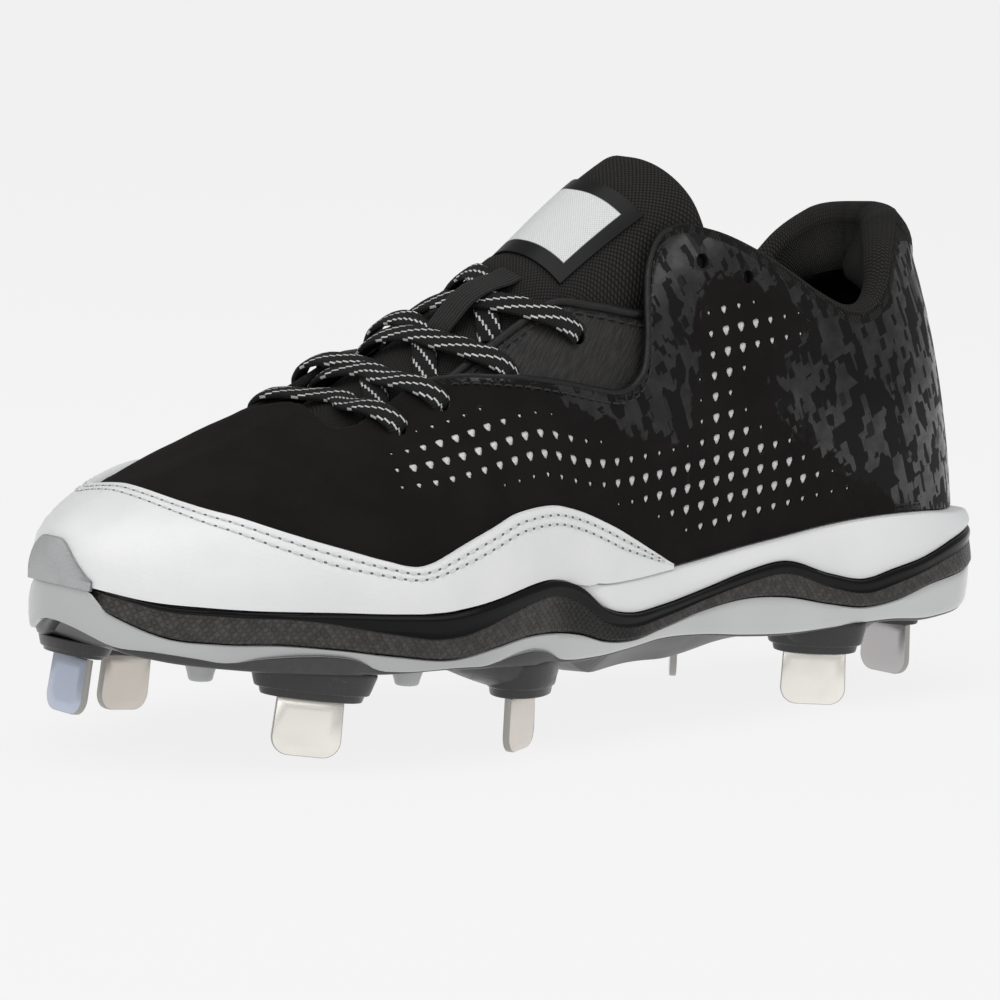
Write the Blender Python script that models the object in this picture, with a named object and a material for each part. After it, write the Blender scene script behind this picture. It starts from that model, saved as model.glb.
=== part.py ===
"""Athletic cleat, left shoe, standing empty on its metal blades.

Frame: +X to the toe, +Y to the outer side, +Z up, origin under the middle of the shoe on the floor.
All sizes below are millimetres; MM turns them into metres at the end.
"""

import math

import bmesh
import bpy
import numpy as np

MM = 0.001
GAP = 0.3          # between pieces that are glued or stitched together
WALL = 2.4         # upper's wall, lining included
COLLAR_PAD = 5.5   # foam added to the wall along the collar
GUARD_SKIN = 1.3   # toe guard's thickness
GUARD_GAP = 0.65   # under it, where it bends round the toe
TONGUE_PAD = 6.0   # tongue's thickness
TONGUE_ROOT = (24, 0, -13)   # from the front of its free part to where it is sewn in under the vamp
LOOP_STEPS = 60    # points round the sole, even, so that each has a partner across it
SHARP_ANGLE = 40   # degrees; edges under it are shaded smooth

# Outline of the sole seen from above, from the heel along the outer side to the toe and back: x, y
OUTLINE = (
    (-146.5, 0), (-141, 18), (-128, 30.5), (-108, 36.5), (-70, 37), (-25, 38.5), (20, 44.5), (58, 49.5),
    (92, 45), (117, 36), (134, 23), (143.5, 10.5), (146.5, -2), (142.5, -13), (134, -23.5), (118, -36),
    (95, -45.5), (65, -50), (30, -46), (-10, -37.5), (-55, -33), (-95, -35), (-125, -29.5), (-140.5, -16),
)

# Heights of the sole's lines along the outline, and how far in from it the upper's foot stands
SOLE_COLUMNS = ("x", "plate_low", "plate_top", "band_top", "feather", "foot_inset")
SOLE = (
    (-146.5, 24.0, 33.0, 43.0, 47.0, 6.0),
    (-122, 22.0, 31.0, 40.5, 47.5, 6.0),
    (-108, 21.5, 29.5, 37.0, 48.5, 5.0),
    (-95, 21.3, 26.7, 34.7, 48.7, 4.5),
    (-84, 21.0, 25.7, 32.7, 48.3, 4.0),
    (-73, 20.5, 27.2, 34.7, 47.3, 4.0),
    (-56, 20.4, 30.3, 39.2, 45.3, 4.0),
    (-43, 21.2, 31.0, 37.7, 43.8, 4.0),
    (-28, 22.6, 29.5, 34.5, 41.8, 4.0),
    (-12, 23.0, 26.5, 31.8, 40.2, 4.0),
    (0, 21.8, 24.5, 31.0, 39.4, 4.0),
    (10, 21.0, 25.2, 33.3, 39.4, 4.0),
    (20, 21.0, 27.8, 39.5, 41.4, 4.0),
    (28, 21.3, 29.0, 41.8, 43.4, 3.5),
    (40, 22.0, 29.3, 41.0, 42.8, 3.2),
    (52, 22.7, 27.7, 38.8, 41.4, 3.0),
    (65, 23.4, 26.0, 37.0, 40.2, 3.0),
    (80, 23.3, 27.6, 37.4, 40.0, 3.0),
    (95, 23.6, 29.8, 38.4, 40.6, 3.0),
    (110, 24.7, 31.4, 39.0, 41.0, 3.0),
    (122, 25.5, 31.6, 39.4, 41.4, 3.0),
    (133, 26.8, 33.0, 40.2, 42.4, 3.0),
    (140, 28.6, 36.8, 42.2, 44.0, 3.0),
    (146.5, 34.0, 42.0, 43.8, 45.4, 3.0),
)

# Top line of the last, from behind the ankle down the instep to the front of the throat
SPINE_COLUMNS = ("x", "y", "z")
SPINE = (
    (-90, -1, 152), (-60, -1, 149), (-28, -2, 138), (-7, -3, 127),
    (15, -3, 113), (40, -3, 97.5), (58, -3, 87.5), (72, -3, 81),
)

# Ribs of the last: where each starts at the foot and ends on the spine, how far it rises before it
# turns in, how far its shoulder reaches out from the spine, and how far its wall leans outwards
RIB_COLUMNS = ("x", "spine_x", "rise", "shoulder", "lean")
RIBS = (
    (-146.5, -88, 0.58, 0.42, -6.0),
    (-125, -85, 0.58, 0.44, -5.0),
    (-100, -78, 0.62, 0.50, -1.0),
    (-60, -56, 0.66, 0.50, 1.5),
    (-20, -22, 0.62, 0.50, 2.0),
    (20, 16, 0.60, 0.42, 2.0),
    (55, 46, 0.54, 0.38, 2.0),
    (85, 62, 0.50, 0.41, 2.0),
    (115, 69, 0.47, 0.66, 1.8),
    (135, 71.5, 0.47, 0.78, 1.4),
    (146.5, 72, 0.48, 0.62, 2.0),
)

# Edge of the upper's opening, as the part of each rib that the upper covers: heel, dip of the collar,
# top of the eyestay, the scoop under the lace wing, and the front of the throat
EDGE_COLUMNS = ("x", "cover")
EDGE = (
    (-146.5, 0.50), (-125, 0.478), (-109, 0.405), (-101, 0.346), (-94, 0.308), (-84, 0.296), (-73.5, 0.328),
    (-65, 0.37), (-54, 0.435), (-39, 0.538), (-29, 0.596), (-23.5, 0.60), (-19.5, 0.572), (-16, 0.52),
    (-14, 0.46), (-12.5, 0.40), (-10.5, 0.352), (-7, 0.328), (-1, 0.326), (7, 0.36), (16, 0.41), (25, 0.463),
    (35, 0.54), (45, 0.63), (56, 0.70), (68, 0.695), (77, 0.682), (84, 0.678), (89, 0.692), (94, 0.728),
    (98, 0.785), (102, 0.845), (108, 0.90), (118, 0.938), (135, 0.958), (146.5, 0.962),
)

# Top edge of the toe guard, as the part of each rib that it covers, and its lower edge's height
GUARD_COLUMNS = ("x", "cover", "low")
GUARD = (
    (-17.5, 0.003, 41.0), (-14.5, 0.012, 40.8), (-9, 0.031, 40.4), (-1, 0.061, 40.0), (9, 0.099, 40.0),
    (14, 0.114, 40.4), (20, 0.128, 41.1), (26, 0.138, 42.2), (32, 0.149, 42.2), (37.5, 0.160, 41.8),
    (43, 0.167, 40.9), (50, 0.161, 39.6), (57, 0.151, 38.5), (62, 0.139, 37.9), (66, 0.125, 37.5),
    (70, 0.111, 37.4), (74, 0.105, 37.4), (78, 0.113, 37.6), (82, 0.130, 37.8), (87, 0.151, 38.1),
    (94.5, 0.188, 38.6), (105, 0.250, 39.1), (115, 0.325, 39.5), (125, 0.418, 40.1), (135, 0.505, 41.0),
    (146.5, 0.53, 44.1),
)

# Lace wings: panels that the scoop shows, tucked under the quarter's edge
WING_COLUMNS = ("x", "low", "top")
WING = (
    (-18, 0.24, 0.43), (-11, 0.24, 0.465), (0, 0.24, 0.545), (12, 0.29, 0.645),
    (22, 0.34, 0.655), (34, 0.43, 0.664), (46, 0.54, 0.67), (53, 0.61, 0.668),
)

# Cleats: where each blade's tip stands, which way its width points (degrees from +X), how high its tip
# is over the floor, and how far the toe spring leans it forward
BLADE_WIDTH = 16.4
BLADE_THICK = 1.8
BLADE_HEIGHT = 13.4
BLADE_CORNER = 4.2
BASE_SIDES = 16
BASE_SINK = 1.2    # the base's top under the plate's own line, which is not quite flat there
# Flare of a cleat's base: part of its full width, part of its height
FLARE = ((0.80, 0.0), (0.84, 0.22), (0.90, 0.32), (1.0, 0.85), (0.97, 1.0))
CLEAT_COLUMNS = ("name", "x", "y", "turn", "lift", "tilt", "wide", "deep")
CLEATS = (
    ("toe", 130.5, -13, 82, 9.6, 9.0, 12.0, 7.5),
    ("ball_inner", 95.5, -36, 8, 3.6, 6.0, 12.5, 7.5),
    ("ball_outer", 96, 33, -32, 3.6, 6.0, 15.0, 9.0),
    ("rear_outer", 32, 36.5, 26, 0.0, 0.0, 12.5, 8.5),
    ("rear_inner", 27, -36, -26, 0.0, 0.0, 12.5, 8.5),
    ("heel_outer", -78, 26, -42, 0.0, 0.0, 13.0, 8.5),
    ("heel_inner", -78, -25, 47, 0.0, 0.0, 13.0, 8.5),
    ("heel_back", -131, 0, 90, 0.0, 0.0, 12.0, 7.5),
)

# Small moulded nubs between the cleats: x, y, radius, height
NUBS = (
    ("a", 108, 9, 4.2, 5.0), ("b", 98, -6, 3.2, 4.0), ("c", 66, 34, 4.2, 4.5),
    ("d", 62, -34, 4.2, 4.5), ("e", 60, 0, 4.2, 4.5),
)

# Crossings of the lace, which lean to the toe on their way in: the ribs of their outer end, middle and
# inner end, the part of the rib at both ends, and heights over the last from end to end
LACE_RADIUS = 2.2
LACE_COLUMNS = ("outer_x", "outer_part", "middle_x", "inner_x", "inner_part", "lifts")
LACES = (
    (70, 0.60, 83, 75, 0.62, (3.1, 2.0, -1.8, 2.0, 3.1)),
    (54, 0.60, 65, 61, 0.62, (3.1, 2.0, -1.6, 2.0, 3.1)),
    (31, 0.54, 46, 44, 0.62, (1.8, 0.2, -2.3, 1.4, 3.1)),
    (8, 0.515, 31, 33, 0.57, (0.6, -0.4, -2.4, -0.2, 0.8)),
)

# Colour, roughness and metalness of each finish
FINISHES = {
    "black_synthetic": ((0.012, 0.011, 0.011), 0.75, 0.0),
    "white_synthetic": ((0.80, 0.80, 0.80), 0.45, 0.0),
    "grey_rubber": ((0.42, 0.43, 0.44), 0.60, 0.0),
    "black_mesh": ((0.014, 0.013, 0.013), 0.85, 0.0),
    "black_leather": ((0.020, 0.018, 0.017), 0.55, 0.0),
    "white_foam": ((0.78, 0.79, 0.80), 0.55, 0.0),
    "black_gloss": ((0.015, 0.015, 0.015), 0.25, 0.0),
    "light_gloss": ((0.62, 0.64, 0.65), 0.20, 0.0),
    "dark_plastic": ((0.045, 0.045, 0.047), 0.40, 0.0),
    "steel": ((0.60, 0.59, 0.57), 0.25, 1.0),
    "lace_cord": ((0.018, 0.018, 0.018), 0.80, 0.0),
}


def clear_scene():
    for old in list(bpy.data.objects):
        bpy.data.objects.remove(old, do_unlink=True)


def finish(name):
    """The material of this finish, made once."""
    if name in bpy.data.materials:
        return bpy.data.materials[name]
    colour, roughness, metallic = FINISHES[name]
    material = bpy.data.materials.new(name)
    material.use_nodes = True
    shader = material.node_tree.nodes["Principled BSDF"]
    shader.inputs["Base Color"].default_value = (*colour, 1.0)
    shader.inputs["Roughness"].default_value = roughness
    shader.inputs["Metallic"].default_value = metallic
    return material


def through(knots, values, at):
    """A smooth curve through the values at the knots, read at these places."""
    knots = np.asarray(knots, float)
    values = np.asarray(values, float)
    at = np.asarray(at, float)
    steps = np.diff(knots)
    spread = steps.reshape((-1,) + (1,) * (values.ndim - 1))
    slopes = np.diff(values, axis=0) / spread
    weight = spread[1:] / (spread[1:] + spread[:-1])
    tangents = np.concatenate([slopes[:1], weight * slopes[:-1] + (1 - weight) * slopes[1:], slopes[-1:]])
    index = np.clip(np.searchsorted(knots, at, side="right") - 1, 0, len(knots) - 2)
    step = steps[index]
    t = np.clip((at - knots[index]) / step, 0, 1)
    if values.ndim > 1:
        step = step[..., None]
        t = t[..., None]
    start = (1 + 2 * t) * (1 - t) ** 2 * values[index] + t * (1 - t) ** 2 * step * tangents[index]
    end = t * t * (3 - 2 * t) * values[index + 1] + t * t * (t - 1) * step * tangents[index + 1]
    return start + end


def column(columns, table, name, x):
    """One column of a table, read smoothly at these x."""
    rows = np.array(table, float)
    return through(rows[:, 0], rows[:, columns.index(name)], x)


def outline(s):
    """Point of the sole's outline at s, a fraction of the way round from the heel by the outer side."""
    corners = np.array(OUTLINE, float)
    wrapped = np.vstack([corners[-3:], corners, corners[:4]])
    along = np.concatenate([[0], np.cumsum(np.linalg.norm(np.diff(wrapped, axis=0), axis=1))])
    first = along[3]
    last = along[3 + len(corners)]
    return through(along, wrapped, first + np.mod(s, 1.0) * (last - first))


def outward(s):
    """Unit vector straight out of the outline at s."""
    step = outline(np.asarray(s) + 0.001) - outline(np.asarray(s) - 0.001)
    normal = np.stack([-step[..., 1], step[..., 0]], -1)
    return normal / np.linalg.norm(normal, axis=-1, keepdims=True)


def sole_line(name, s):
    return column(SOLE_COLUMNS, SOLE, name, outline(s)[..., 0])


def sole_loop(s, inset, height):
    """Points round the sole, this far in from the outline and at these heights."""
    flat = outline(s) - outward(s) * np.broadcast_to(inset, np.shape(s))[..., None]
    return np.concatenate([flat, np.broadcast_to(height, np.shape(s))[..., None]], -1)


def spine(x):
    return np.stack([x, column(SPINE_COLUMNS, SPINE, "y", x), column(SPINE_COLUMNS, SPINE, "z", x)], -1)


def last_form(s, part):
    """The last's surface: the rib that starts at s on the feather line, this part of the way to the spine."""
    s, part = np.broadcast_arrays(np.asarray(s, float), np.asarray(part, float))
    x = outline(s)[..., 0]
    foot = sole_loop(s, sole_line("foot_inset", s), sole_line("feather", s))
    top_x = column(RIB_COLUMNS, RIBS, "spine_x", x)
    top = spine(top_x)
    behind = spine(top_x - 0.5)
    slope = (top[..., 2] - behind[..., 2]) / 0.5
    across = top[..., :2] - foot[..., :2]
    reach = np.linalg.norm(across, axis=-1, keepdims=True)
    across = across / reach
    wall = foot.copy()
    wall[..., 2] += column(RIB_COLUMNS, RIBS, "rise", x) * (top[..., 2] - foot[..., 2])
    wall[..., :2] += outward(s) * column(RIB_COLUMNS, RIBS, "lean", x)[..., None]
    shoulder = top.copy()
    back = column(RIB_COLUMNS, RIBS, "shoulder", x)[..., None] * reach
    shoulder[..., :2] -= across * back
    shoulder[..., 2] -= back[..., 0] * slope * across[..., 0]
    t = part[..., None]
    return foot * (1 - t) ** 3 + 3 * wall * t * (1 - t) ** 2 + 3 * shoulder * t * t * (1 - t) + top * t**3


def last_normal(s, part):
    """Unit vector straight out of the last."""
    s, part = np.broadcast_arrays(np.asarray(s, float), np.asarray(part, float))
    round_step = last_form(s + 0.002, part) - last_form(s - 0.002, part)
    up_step = last_form(s, np.minimum(part + 0.01, 1)) - last_form(s, np.maximum(part - 0.01, 0))
    normal = np.cross(up_step, round_step)
    return normal / np.linalg.norm(normal, axis=-1, keepdims=True)


def skin(s, part, offset):
    """The last's surface moved out by this much, or in where it is negative."""
    return last_form(s, part) + last_normal(s, part) * np.asarray(offset, float)[..., None]


def smooth_step(low, high, x):
    t = np.clip((np.asarray(x, float) - low) / (high - low), 0, 1)
    return t * t * (3 - 2 * t)


def side_s(x, side):
    """The s on the outer (side 1) or inner (side -1) half of the outline where it passes x."""
    half = np.linspace(0, 0.5, 600)
    s = half if side > 0 else 1 - half
    return np.interp(x, outline(s)[:, 0], s)


def rib_at_spine(x, side):
    """The s of the rib that ends on the spine at x."""
    feet = np.linspace(-146.5, 146.5, 400)
    ends = column(RIB_COLUMNS, RIBS, "spine_x", feet)
    return side_s(np.interp(x, ends, feet), side)


def add_object(name, mesh_maker, finish_name, parent):
    """A named object from a bmesh, its faces turned outwards."""
    bmesh.ops.recalc_face_normals(mesh_maker, faces=mesh_maker.faces)
    mesh = bpy.data.meshes.new(name)
    mesh_maker.to_mesh(mesh)
    mesh_maker.free()
    mesh.materials.append(finish(finish_name))
    mesh.shade_smooth()
    mesh.set_sharp_from_angle(angle=math.radians(SHARP_ANGLE))
    made = bpy.data.objects.new(name, mesh)
    bpy.context.scene.collection.objects.link(made)
    made.parent = parent
    return made


def add_rows(builder, rows):
    """Vertices for each row of points, in metres."""
    return [[builder.verts.new(point) for point in np.asarray(row) * MM] for row in rows]


def bridge(builder, first, second, closed):
    """Quads between two rows of vertices of the same length."""
    count = len(first)
    for i in range(count if closed else count - 1):
        j = (i + 1) % count
        builder.faces.new((first[i], first[j], second[j], second[i]))


def fill_across(builder, rim, across, sag):
    """Closes a loop of the sole with rungs from each point to its partner on the other side."""
    half = len(rim) // 2
    rungs = []
    for k in range(1, half):
        start = np.array(rim[k].co) / MM
        end = np.array(rim[-k].co) / MM
        middle = []
        for j in range(1, across):
            share = j / across
            point = start + (end - start) * share
            point[2] += sag(point[0], 4 * share * (1 - share))
            middle.append(point)
        rungs.append([rim[k]] + add_rows(builder, [middle])[0] + [rim[-k]])
    for low, high in zip(rungs[:-1], rungs[1:]):
        bridge(builder, low, high, False)
    for tip, rung in ((rim[0], rungs[0]), (rim[half], rungs[-1])):
        for a, b in zip(rung[:-1], rung[1:]):
            builder.faces.new((tip, a, b))


def sole_slab(name, loops, sag_low, sag_top, finish_name, parent, across=5):
    """A layer of the sole: loops from its lower to its upper edge, closed below and above."""
    builder = bmesh.new()
    rows = add_rows(builder, loops)
    for low, high in zip(rows[:-1], rows[1:]):
        bridge(builder, low, high, True)
    fill_across(builder, rows[0], across, sag_low)
    fill_across(builder, rows[-1], across, sag_top)
    return add_object(name, builder, finish_name, parent)


def panel(name, outer, inner, finish_name, parent):
    """A closed sheet between two grids of points of the same shape."""
    builder = bmesh.new()
    front = add_rows(builder, outer)
    back = add_rows(builder, inner)
    for grid in (front, back):
        for low, high in zip(grid[:-1], grid[1:]):
            bridge(builder, low, high, False)
    bridge(builder, front[0], back[0], False)
    bridge(builder, front[-1], back[-1], False)
    for end in (0, -1):
        bridge(builder, [row[end] for row in front], [row[end] for row in back], False)
    return add_object(name, builder, finish_name, parent)


def no_sag(x, middle):
    return 0.0


def shank_sag(x, middle):
    """The underside's thick middle: a flat shank under the arch, which hangs below the plate's edges."""
    return -8.0 * smooth_step(0, 0.55, middle) * smooth_step(-58, -22, x) * (1 - smooth_step(0, 16, x))


def add_sole(parent):
    """Outsole plate, its dark frame, the foam midsole and the insole."""
    s = np.arange(LOOP_STEPS) / LOOP_STEPS
    low = sole_line("plate_low", s)
    plate_top = sole_line("plate_top", s)
    band = sole_line("band_top", s)
    feather = sole_line("feather", s)
    x = outline(s)[:, 0]
    plate_loops = (
        sole_loop(s, 5.0, low),
        sole_loop(s, 2.2, low + 0.6),
        sole_loop(s, 0.8, low + 0.45 * (plate_top - low)),
        sole_loop(s, 0.6, plate_top),
    )
    sole_slab("outsole_plate", plate_loops, shank_sag, no_sag, "light_gloss", parent)
    bottom = plate_top + GAP
    front = smooth_step(8, 19, x)
    frame_loops = (
        sole_loop(s, 0.6, bottom),
        sole_loop(s, 0.0, bottom + 0.10 * (band - bottom)),
        sole_loop(s, 1.1, bottom + 0.62 * (band - bottom)),
        sole_loop(s, 0.5, bottom + 0.80 * (band - bottom)),
        sole_loop(s, 1.2, band),
        sole_loop(s, 1.6 + 3.2 * front, band),
    )
    sole_slab("outsole_frame", frame_loops, no_sag, no_sag, "black_gloss", parent)
    base = band + GAP
    top = feather - 0.5
    midsole_loops = (
        sole_loop(s, 1.6 + 3.2 * front, base),
        sole_loop(s, 0.9 + 3.9 * front, base + 0.35 * (top - base)),
        sole_loop(s, 1.6 + 3.2 * front, base + 0.75 * (top - base)),
        sole_loop(s, 3.0 + 2.0 * front, top),
    )
    sole_slab("midsole", midsole_loops, no_sag, no_sag, "white_foam", parent)
    inside = sole_line("foot_inset", s) + WALL + 1.4
    bed = feather + 0.5
    insole_loops = (
        sole_loop(s, inside + 0.8, bed),
        sole_loop(s, inside, bed + 1.2),
        sole_loop(s, inside, bed + 3.2),
        sole_loop(s, inside + 1.2, bed + 4.2),
    )
    sole_slab("insole", insole_loops, no_sag, no_sag, "black_mesh", parent, across=4)


def upper_stations():
    """Where the ribs stand: even round the sole, closer where the edge turns up to the eyestay."""
    even = np.arange(54) / 54
    turns = np.array([-20.5, -17.5, -15, -13.2, -11.5, -8.5])
    extra = np.concatenate([side_s(turns, 1), side_s(turns, -1)])
    return np.unique(np.round(np.concatenate([even, extra]), 4))


def add_upper(parent):
    """One hollow wall from the feather line to the edge of collar and throat."""
    s = upper_stations()
    x = outline(s)[:, 0]
    cover = column(EDGE_COLUMNS, EDGE, "cover", x)
    pad = COLLAR_PAD * (1 - smooth_step(-62, -38, x))

    def thick(share):
        return WALL + pad * smooth_step(0.45, 0.95, share)

    outer_shares = np.linspace(0, 1, 10)
    inner_shares = np.linspace(1, 0, 9)
    rows = [last_form(s, cover * share) for share in outer_shares]
    lip = thick(1.0)
    edge_up = skin(s, cover, np.zeros(len(s))) - skin(s, cover - 0.03, np.zeros(len(s)))
    edge_up /= np.linalg.norm(edge_up, axis=1, keepdims=True)
    for angle in (50, 90, 130):
        depth = lip * (1 - math.cos(math.radians(angle))) / 2
        rise = 0.4 * lip * math.sin(math.radians(angle))
        rows.append(skin(s, cover, -depth) + edge_up * rise[:, None])
    rows += [skin(s, cover * share, -thick(share)) for share in inner_shares]
    foot = rows[-1]
    foot[:, 2] = rows[0][:, 2]
    builder = bmesh.new()
    loops = add_rows(builder, rows)
    for low, high in zip(loops, loops[1:] + loops[:1]):
        bridge(builder, low, high, True)
    add_object("upper", builder, "black_synthetic", parent)


def inner_guard(s, x):
    """How much further up the guard goes on the inner side of the toe."""
    inner = np.mod(s, 1.0) > 0.5
    return np.where(inner, 0.19 * smooth_step(62, 98, x) * (1 - smooth_step(98, 138, x)), 0.0)


def add_toe_guard(parent):
    """White guard over the upper's skin, round the toe and back along both sides to the waist."""
    start = side_s(-16.5, 1)
    end = side_s(-16.5, -1)
    s = np.linspace(start, end, 43)
    x = outline(s)[:, 0]
    cover = column(GUARD_COLUMNS, GUARD, "cover", x) + inner_guard(s, x)
    low = column(GUARD_COLUMNS, GUARD, "low", x)

    def rows_at(offset):
        offset = np.full(len(s), offset)
        foot = skin(s, np.full(len(s), 0.0), offset)
        hem = foot.copy()
        hem[:, 2] = np.minimum(low, foot[:, 2] - 0.2)
        body = [skin(s, cover * share, offset) for share in (0.1, 0.3, 0.5, 0.68, 0.84, 1.0)]
        return [hem] + body

    panel("toe_guard", rows_at(GUARD_GAP + GUARD_SKIN), rows_at(GUARD_GAP), "white_synthetic", parent)


def add_toe_bumper(parent):
    """Grey rubber crescent over the guard at the tip of the toe."""
    s = np.linspace(0.482, 0.527, 15)
    share = np.sin(math.pi * np.linspace(0.06, 0.94, 15)) ** 0.5
    cover = 0.165 * share
    inner_gap = GUARD_GAP + GUARD_SKIN + GAP

    def rows_at(offset):
        offset = np.full(len(s), offset)
        foot = skin(s, np.full(len(s), 0.0), offset)
        hem = foot.copy()
        hem[:, 2] = sole_line("band_top", s) + GAP
        return [hem] + [skin(s, cover * part, offset) for part in (0.15, 0.5, 1.0)]

    panel("toe_bumper", rows_at(inner_gap + 1.2), rows_at(inner_gap), "grey_rubber", parent)


def tongue_grid(padding):
    """Points of the tongue's face, this far into its padding: rows from the throat to its top.

    It lies under the lace wings in front, and swells out to the last's own line above them.
    """
    rows = []
    for along in np.linspace(0, 1, 14):
        row = []
        for across in np.linspace(-1, 1, 13):
            side = 1 if across >= 0 else -1
            top_x = -30.5 - 13.2 * abs(across) ** 1.3
            x = 62 + (top_x - 62) * along
            width = 0.36 + 0.12 * smooth_step(0.0, 0.5, along)
            s = rib_at_spine(x, side)
            fullness = 2 + 2.5 * smooth_step(0.65, 0.9, along)
            swell = 5.0 * smooth_step(0.4, 1.05, along) * (1 - abs(across) ** fullness)
            row.append(skin(s, 1 - width * abs(across), -np.asarray(5.3 - swell + padding)))
        rows.append(np.array(row))
    middle = rows[0][len(rows[0]) // 2]
    toe_end = middle + (rows[0] - middle) * 0.55 + np.array(TONGUE_ROOT)
    return [toe_end] + rows


def add_tongue(parent):
    """Padded tongue from under the front of the throat up to its rounded top."""
    panel("tongue", tongue_grid(0.0), tongue_grid(TONGUE_PAD), "black_mesh", parent)


def add_wings(parent):
    """Lace wings just under the quarter's edge on each side."""
    x = np.linspace(-17, 52, 13)
    low = column(WING_COLUMNS, WING, "low", x)
    top = column(WING_COLUMNS, WING, "top", x)
    for name, side in (("lace_wing_outer", 1), ("lace_wing_inner", -1)):
        s = side_s(x, side)

        def rows_at(depth, s=s):
            shares = (0, 0.3, 0.65, 1)
            return [skin(s, low + (top - low) * share, np.full(len(s), -depth)) for share in shares]

        panel(name, rows_at(WALL + 0.7), rows_at(WALL + 2.2), "black_leather", parent)


def add_laces(parent):
    """Crossings of the lace, which bridge the tongue from edge to edge."""
    for number, (outer_x, outer_part, middle_x, inner_x, inner_part, lifts) in enumerate(LACES, 1):
        halves = []
        ends = ((1, outer_x, outer_part, lifts[:3]), (-1, inner_x, inner_part, lifts[:1:-1]))
        for side, end_x, part, heights in ends:
            half = []
            for share, lift in zip((0.0, 0.5, 1.0), heights):
                s = side_s(end_x + (middle_x - end_x) * share, side)
                half.append(skin(s, part + (0.985 - part) * share, np.asarray(lift)) * MM)
            halves.append(half)
        outer, inner = halves
        points = outer[:2] + [(outer[2] + inner[2]) / 2] + inner[1::-1]
        curve = bpy.data.curves.new(f"lace_{number}", "CURVE")
        curve.dimensions = "3D"
        curve.bevel_depth = LACE_RADIUS * MM
        curve.bevel_resolution = 1
        curve.resolution_u = 4
        curve.use_fill_caps = True
        line = curve.splines.new("BEZIER")
        line.bezier_points.add(len(points) - 1)
        for knot, point in zip(line.bezier_points, points):
            knot.co = point
            knot.handle_left_type = "AUTO"
            knot.handle_right_type = "AUTO"
        curve.materials.append(finish("lace_cord"))
        made = bpy.data.objects.new(f"lace_{number}", curve)
        bpy.context.scene.collection.objects.link(made)
        made.parent = parent


def underside(x, y):
    """Height of the plate's underside at this place, between its two edges."""
    lift = column(SOLE_COLUMNS, SOLE, "plate_low", x)
    width = np.interp(x, outline(np.linspace(0, 0.5, 200))[:, 0], outline(np.linspace(0, 0.5, 200))[:, 1])
    return lift + shank_sag(x, max(0.0, 1 - (y / width) ** 2))


def add_cleat(name, x, y, turn, lift, tilt, wide, deep, parent):
    """A flared base under the plate, and the steel blade below it."""
    stand = bpy.data.objects.new(f"cleat_{name}", None)
    bpy.context.scene.collection.objects.link(stand)
    stand.parent = parent
    stand.location = (x * MM, y * MM, lift * MM)
    stand.rotation_euler = (0, -math.radians(tilt), 0)
    ceiling = float(underside(x, y)) - lift
    pad = BLADE_HEIGHT + GAP
    heading = math.radians(turn)
    along = np.array([math.cos(heading), math.sin(heading), 0])
    side = np.array([-math.sin(heading), math.cos(heading), 0])
    angles = np.arange(BASE_SIDES) / BASE_SIDES * 2 * math.pi
    top = ceiling - BASE_SINK - 0.16 * wide * math.sin(math.radians(abs(tilt)))
    loops = []
    for grow, rise in FLARE:
        ring = np.outer(np.cos(angles) * wide * grow, along) + np.outer(np.sin(angles) * deep * grow, side)
        loops.append(ring + np.array([0, 0, pad + rise * (top - pad)]))
    builder = bmesh.new()
    rows = add_rows(builder, loops)
    for low, high in zip(rows[:-1], rows[1:]):
        bridge(builder, low, high, True)
    builder.faces.new(rows[0])
    builder.faces.new(rows[-1])
    add_object(f"cleat_base_{name}", builder, "dark_plastic", stand)

    half = BLADE_WIDTH / 2
    corner = np.radians(np.linspace(0, 90, 4))
    left = [(-half + BLADE_CORNER * (1 - math.sin(a)), BLADE_CORNER * (1 - math.cos(a))) for a in corner]
    edge = [(-u, v) for u, v in left] + [(half - 0.6, BLADE_HEIGHT), (0.6 - half, BLADE_HEIGHT)] + left[::-1]
    faces = []
    for shift in (-BLADE_THICK / 2, BLADE_THICK / 2):
        faces.append([along * u + side * shift + np.array([0, 0, v]) for u, v in edge])
    builder = bmesh.new()
    rows = add_rows(builder, faces)
    bridge(builder, rows[0], rows[1], True)
    builder.faces.new(rows[0])
    builder.faces.new(rows[1])
    add_object(f"blade_{name}", builder, "steel", stand)


def add_nubs(parent):
    for name, x, y, radius, height in NUBS:
        builder = bmesh.new()
        foot = 0.7 * radius * MM
        bmesh.ops.create_cone(
            builder, cap_ends=True, segments=12, radius1=foot, radius2=radius * MM, depth=height * MM
        )
        made = add_object(f"nub_{name}", builder, "light_gloss", parent)
        made.location = (x * MM, y * MM, (float(underside(x, y)) - 0.9 - height / 2) * MM)


def build():
    clear_scene()
    root = bpy.data.objects.new("cleat", None)
    bpy.context.scene.collection.objects.link(root)
    add_sole(root)
    add_upper(root)
    add_toe_guard(root)
    add_toe_bumper(root)
    add_tongue(root)
    add_wings(root)
    add_laces(root)
    for row in CLEATS:
        add_cleat(*row, parent=root)
    add_nubs(root)


build()
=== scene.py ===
"""Looks of the left athletic cleat: fine surfaces, materials, lace, stitching, light and camera.

The surfaces follow the form and the tables of the part's source. The edges of the upper and the guard and the
bases of the cleats have tables of their own here. Sizes are millimetres in the shoe's frame, +X to the toe, +Y
to the outer side and +Z up, and MM turns them into metres.
"""

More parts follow.
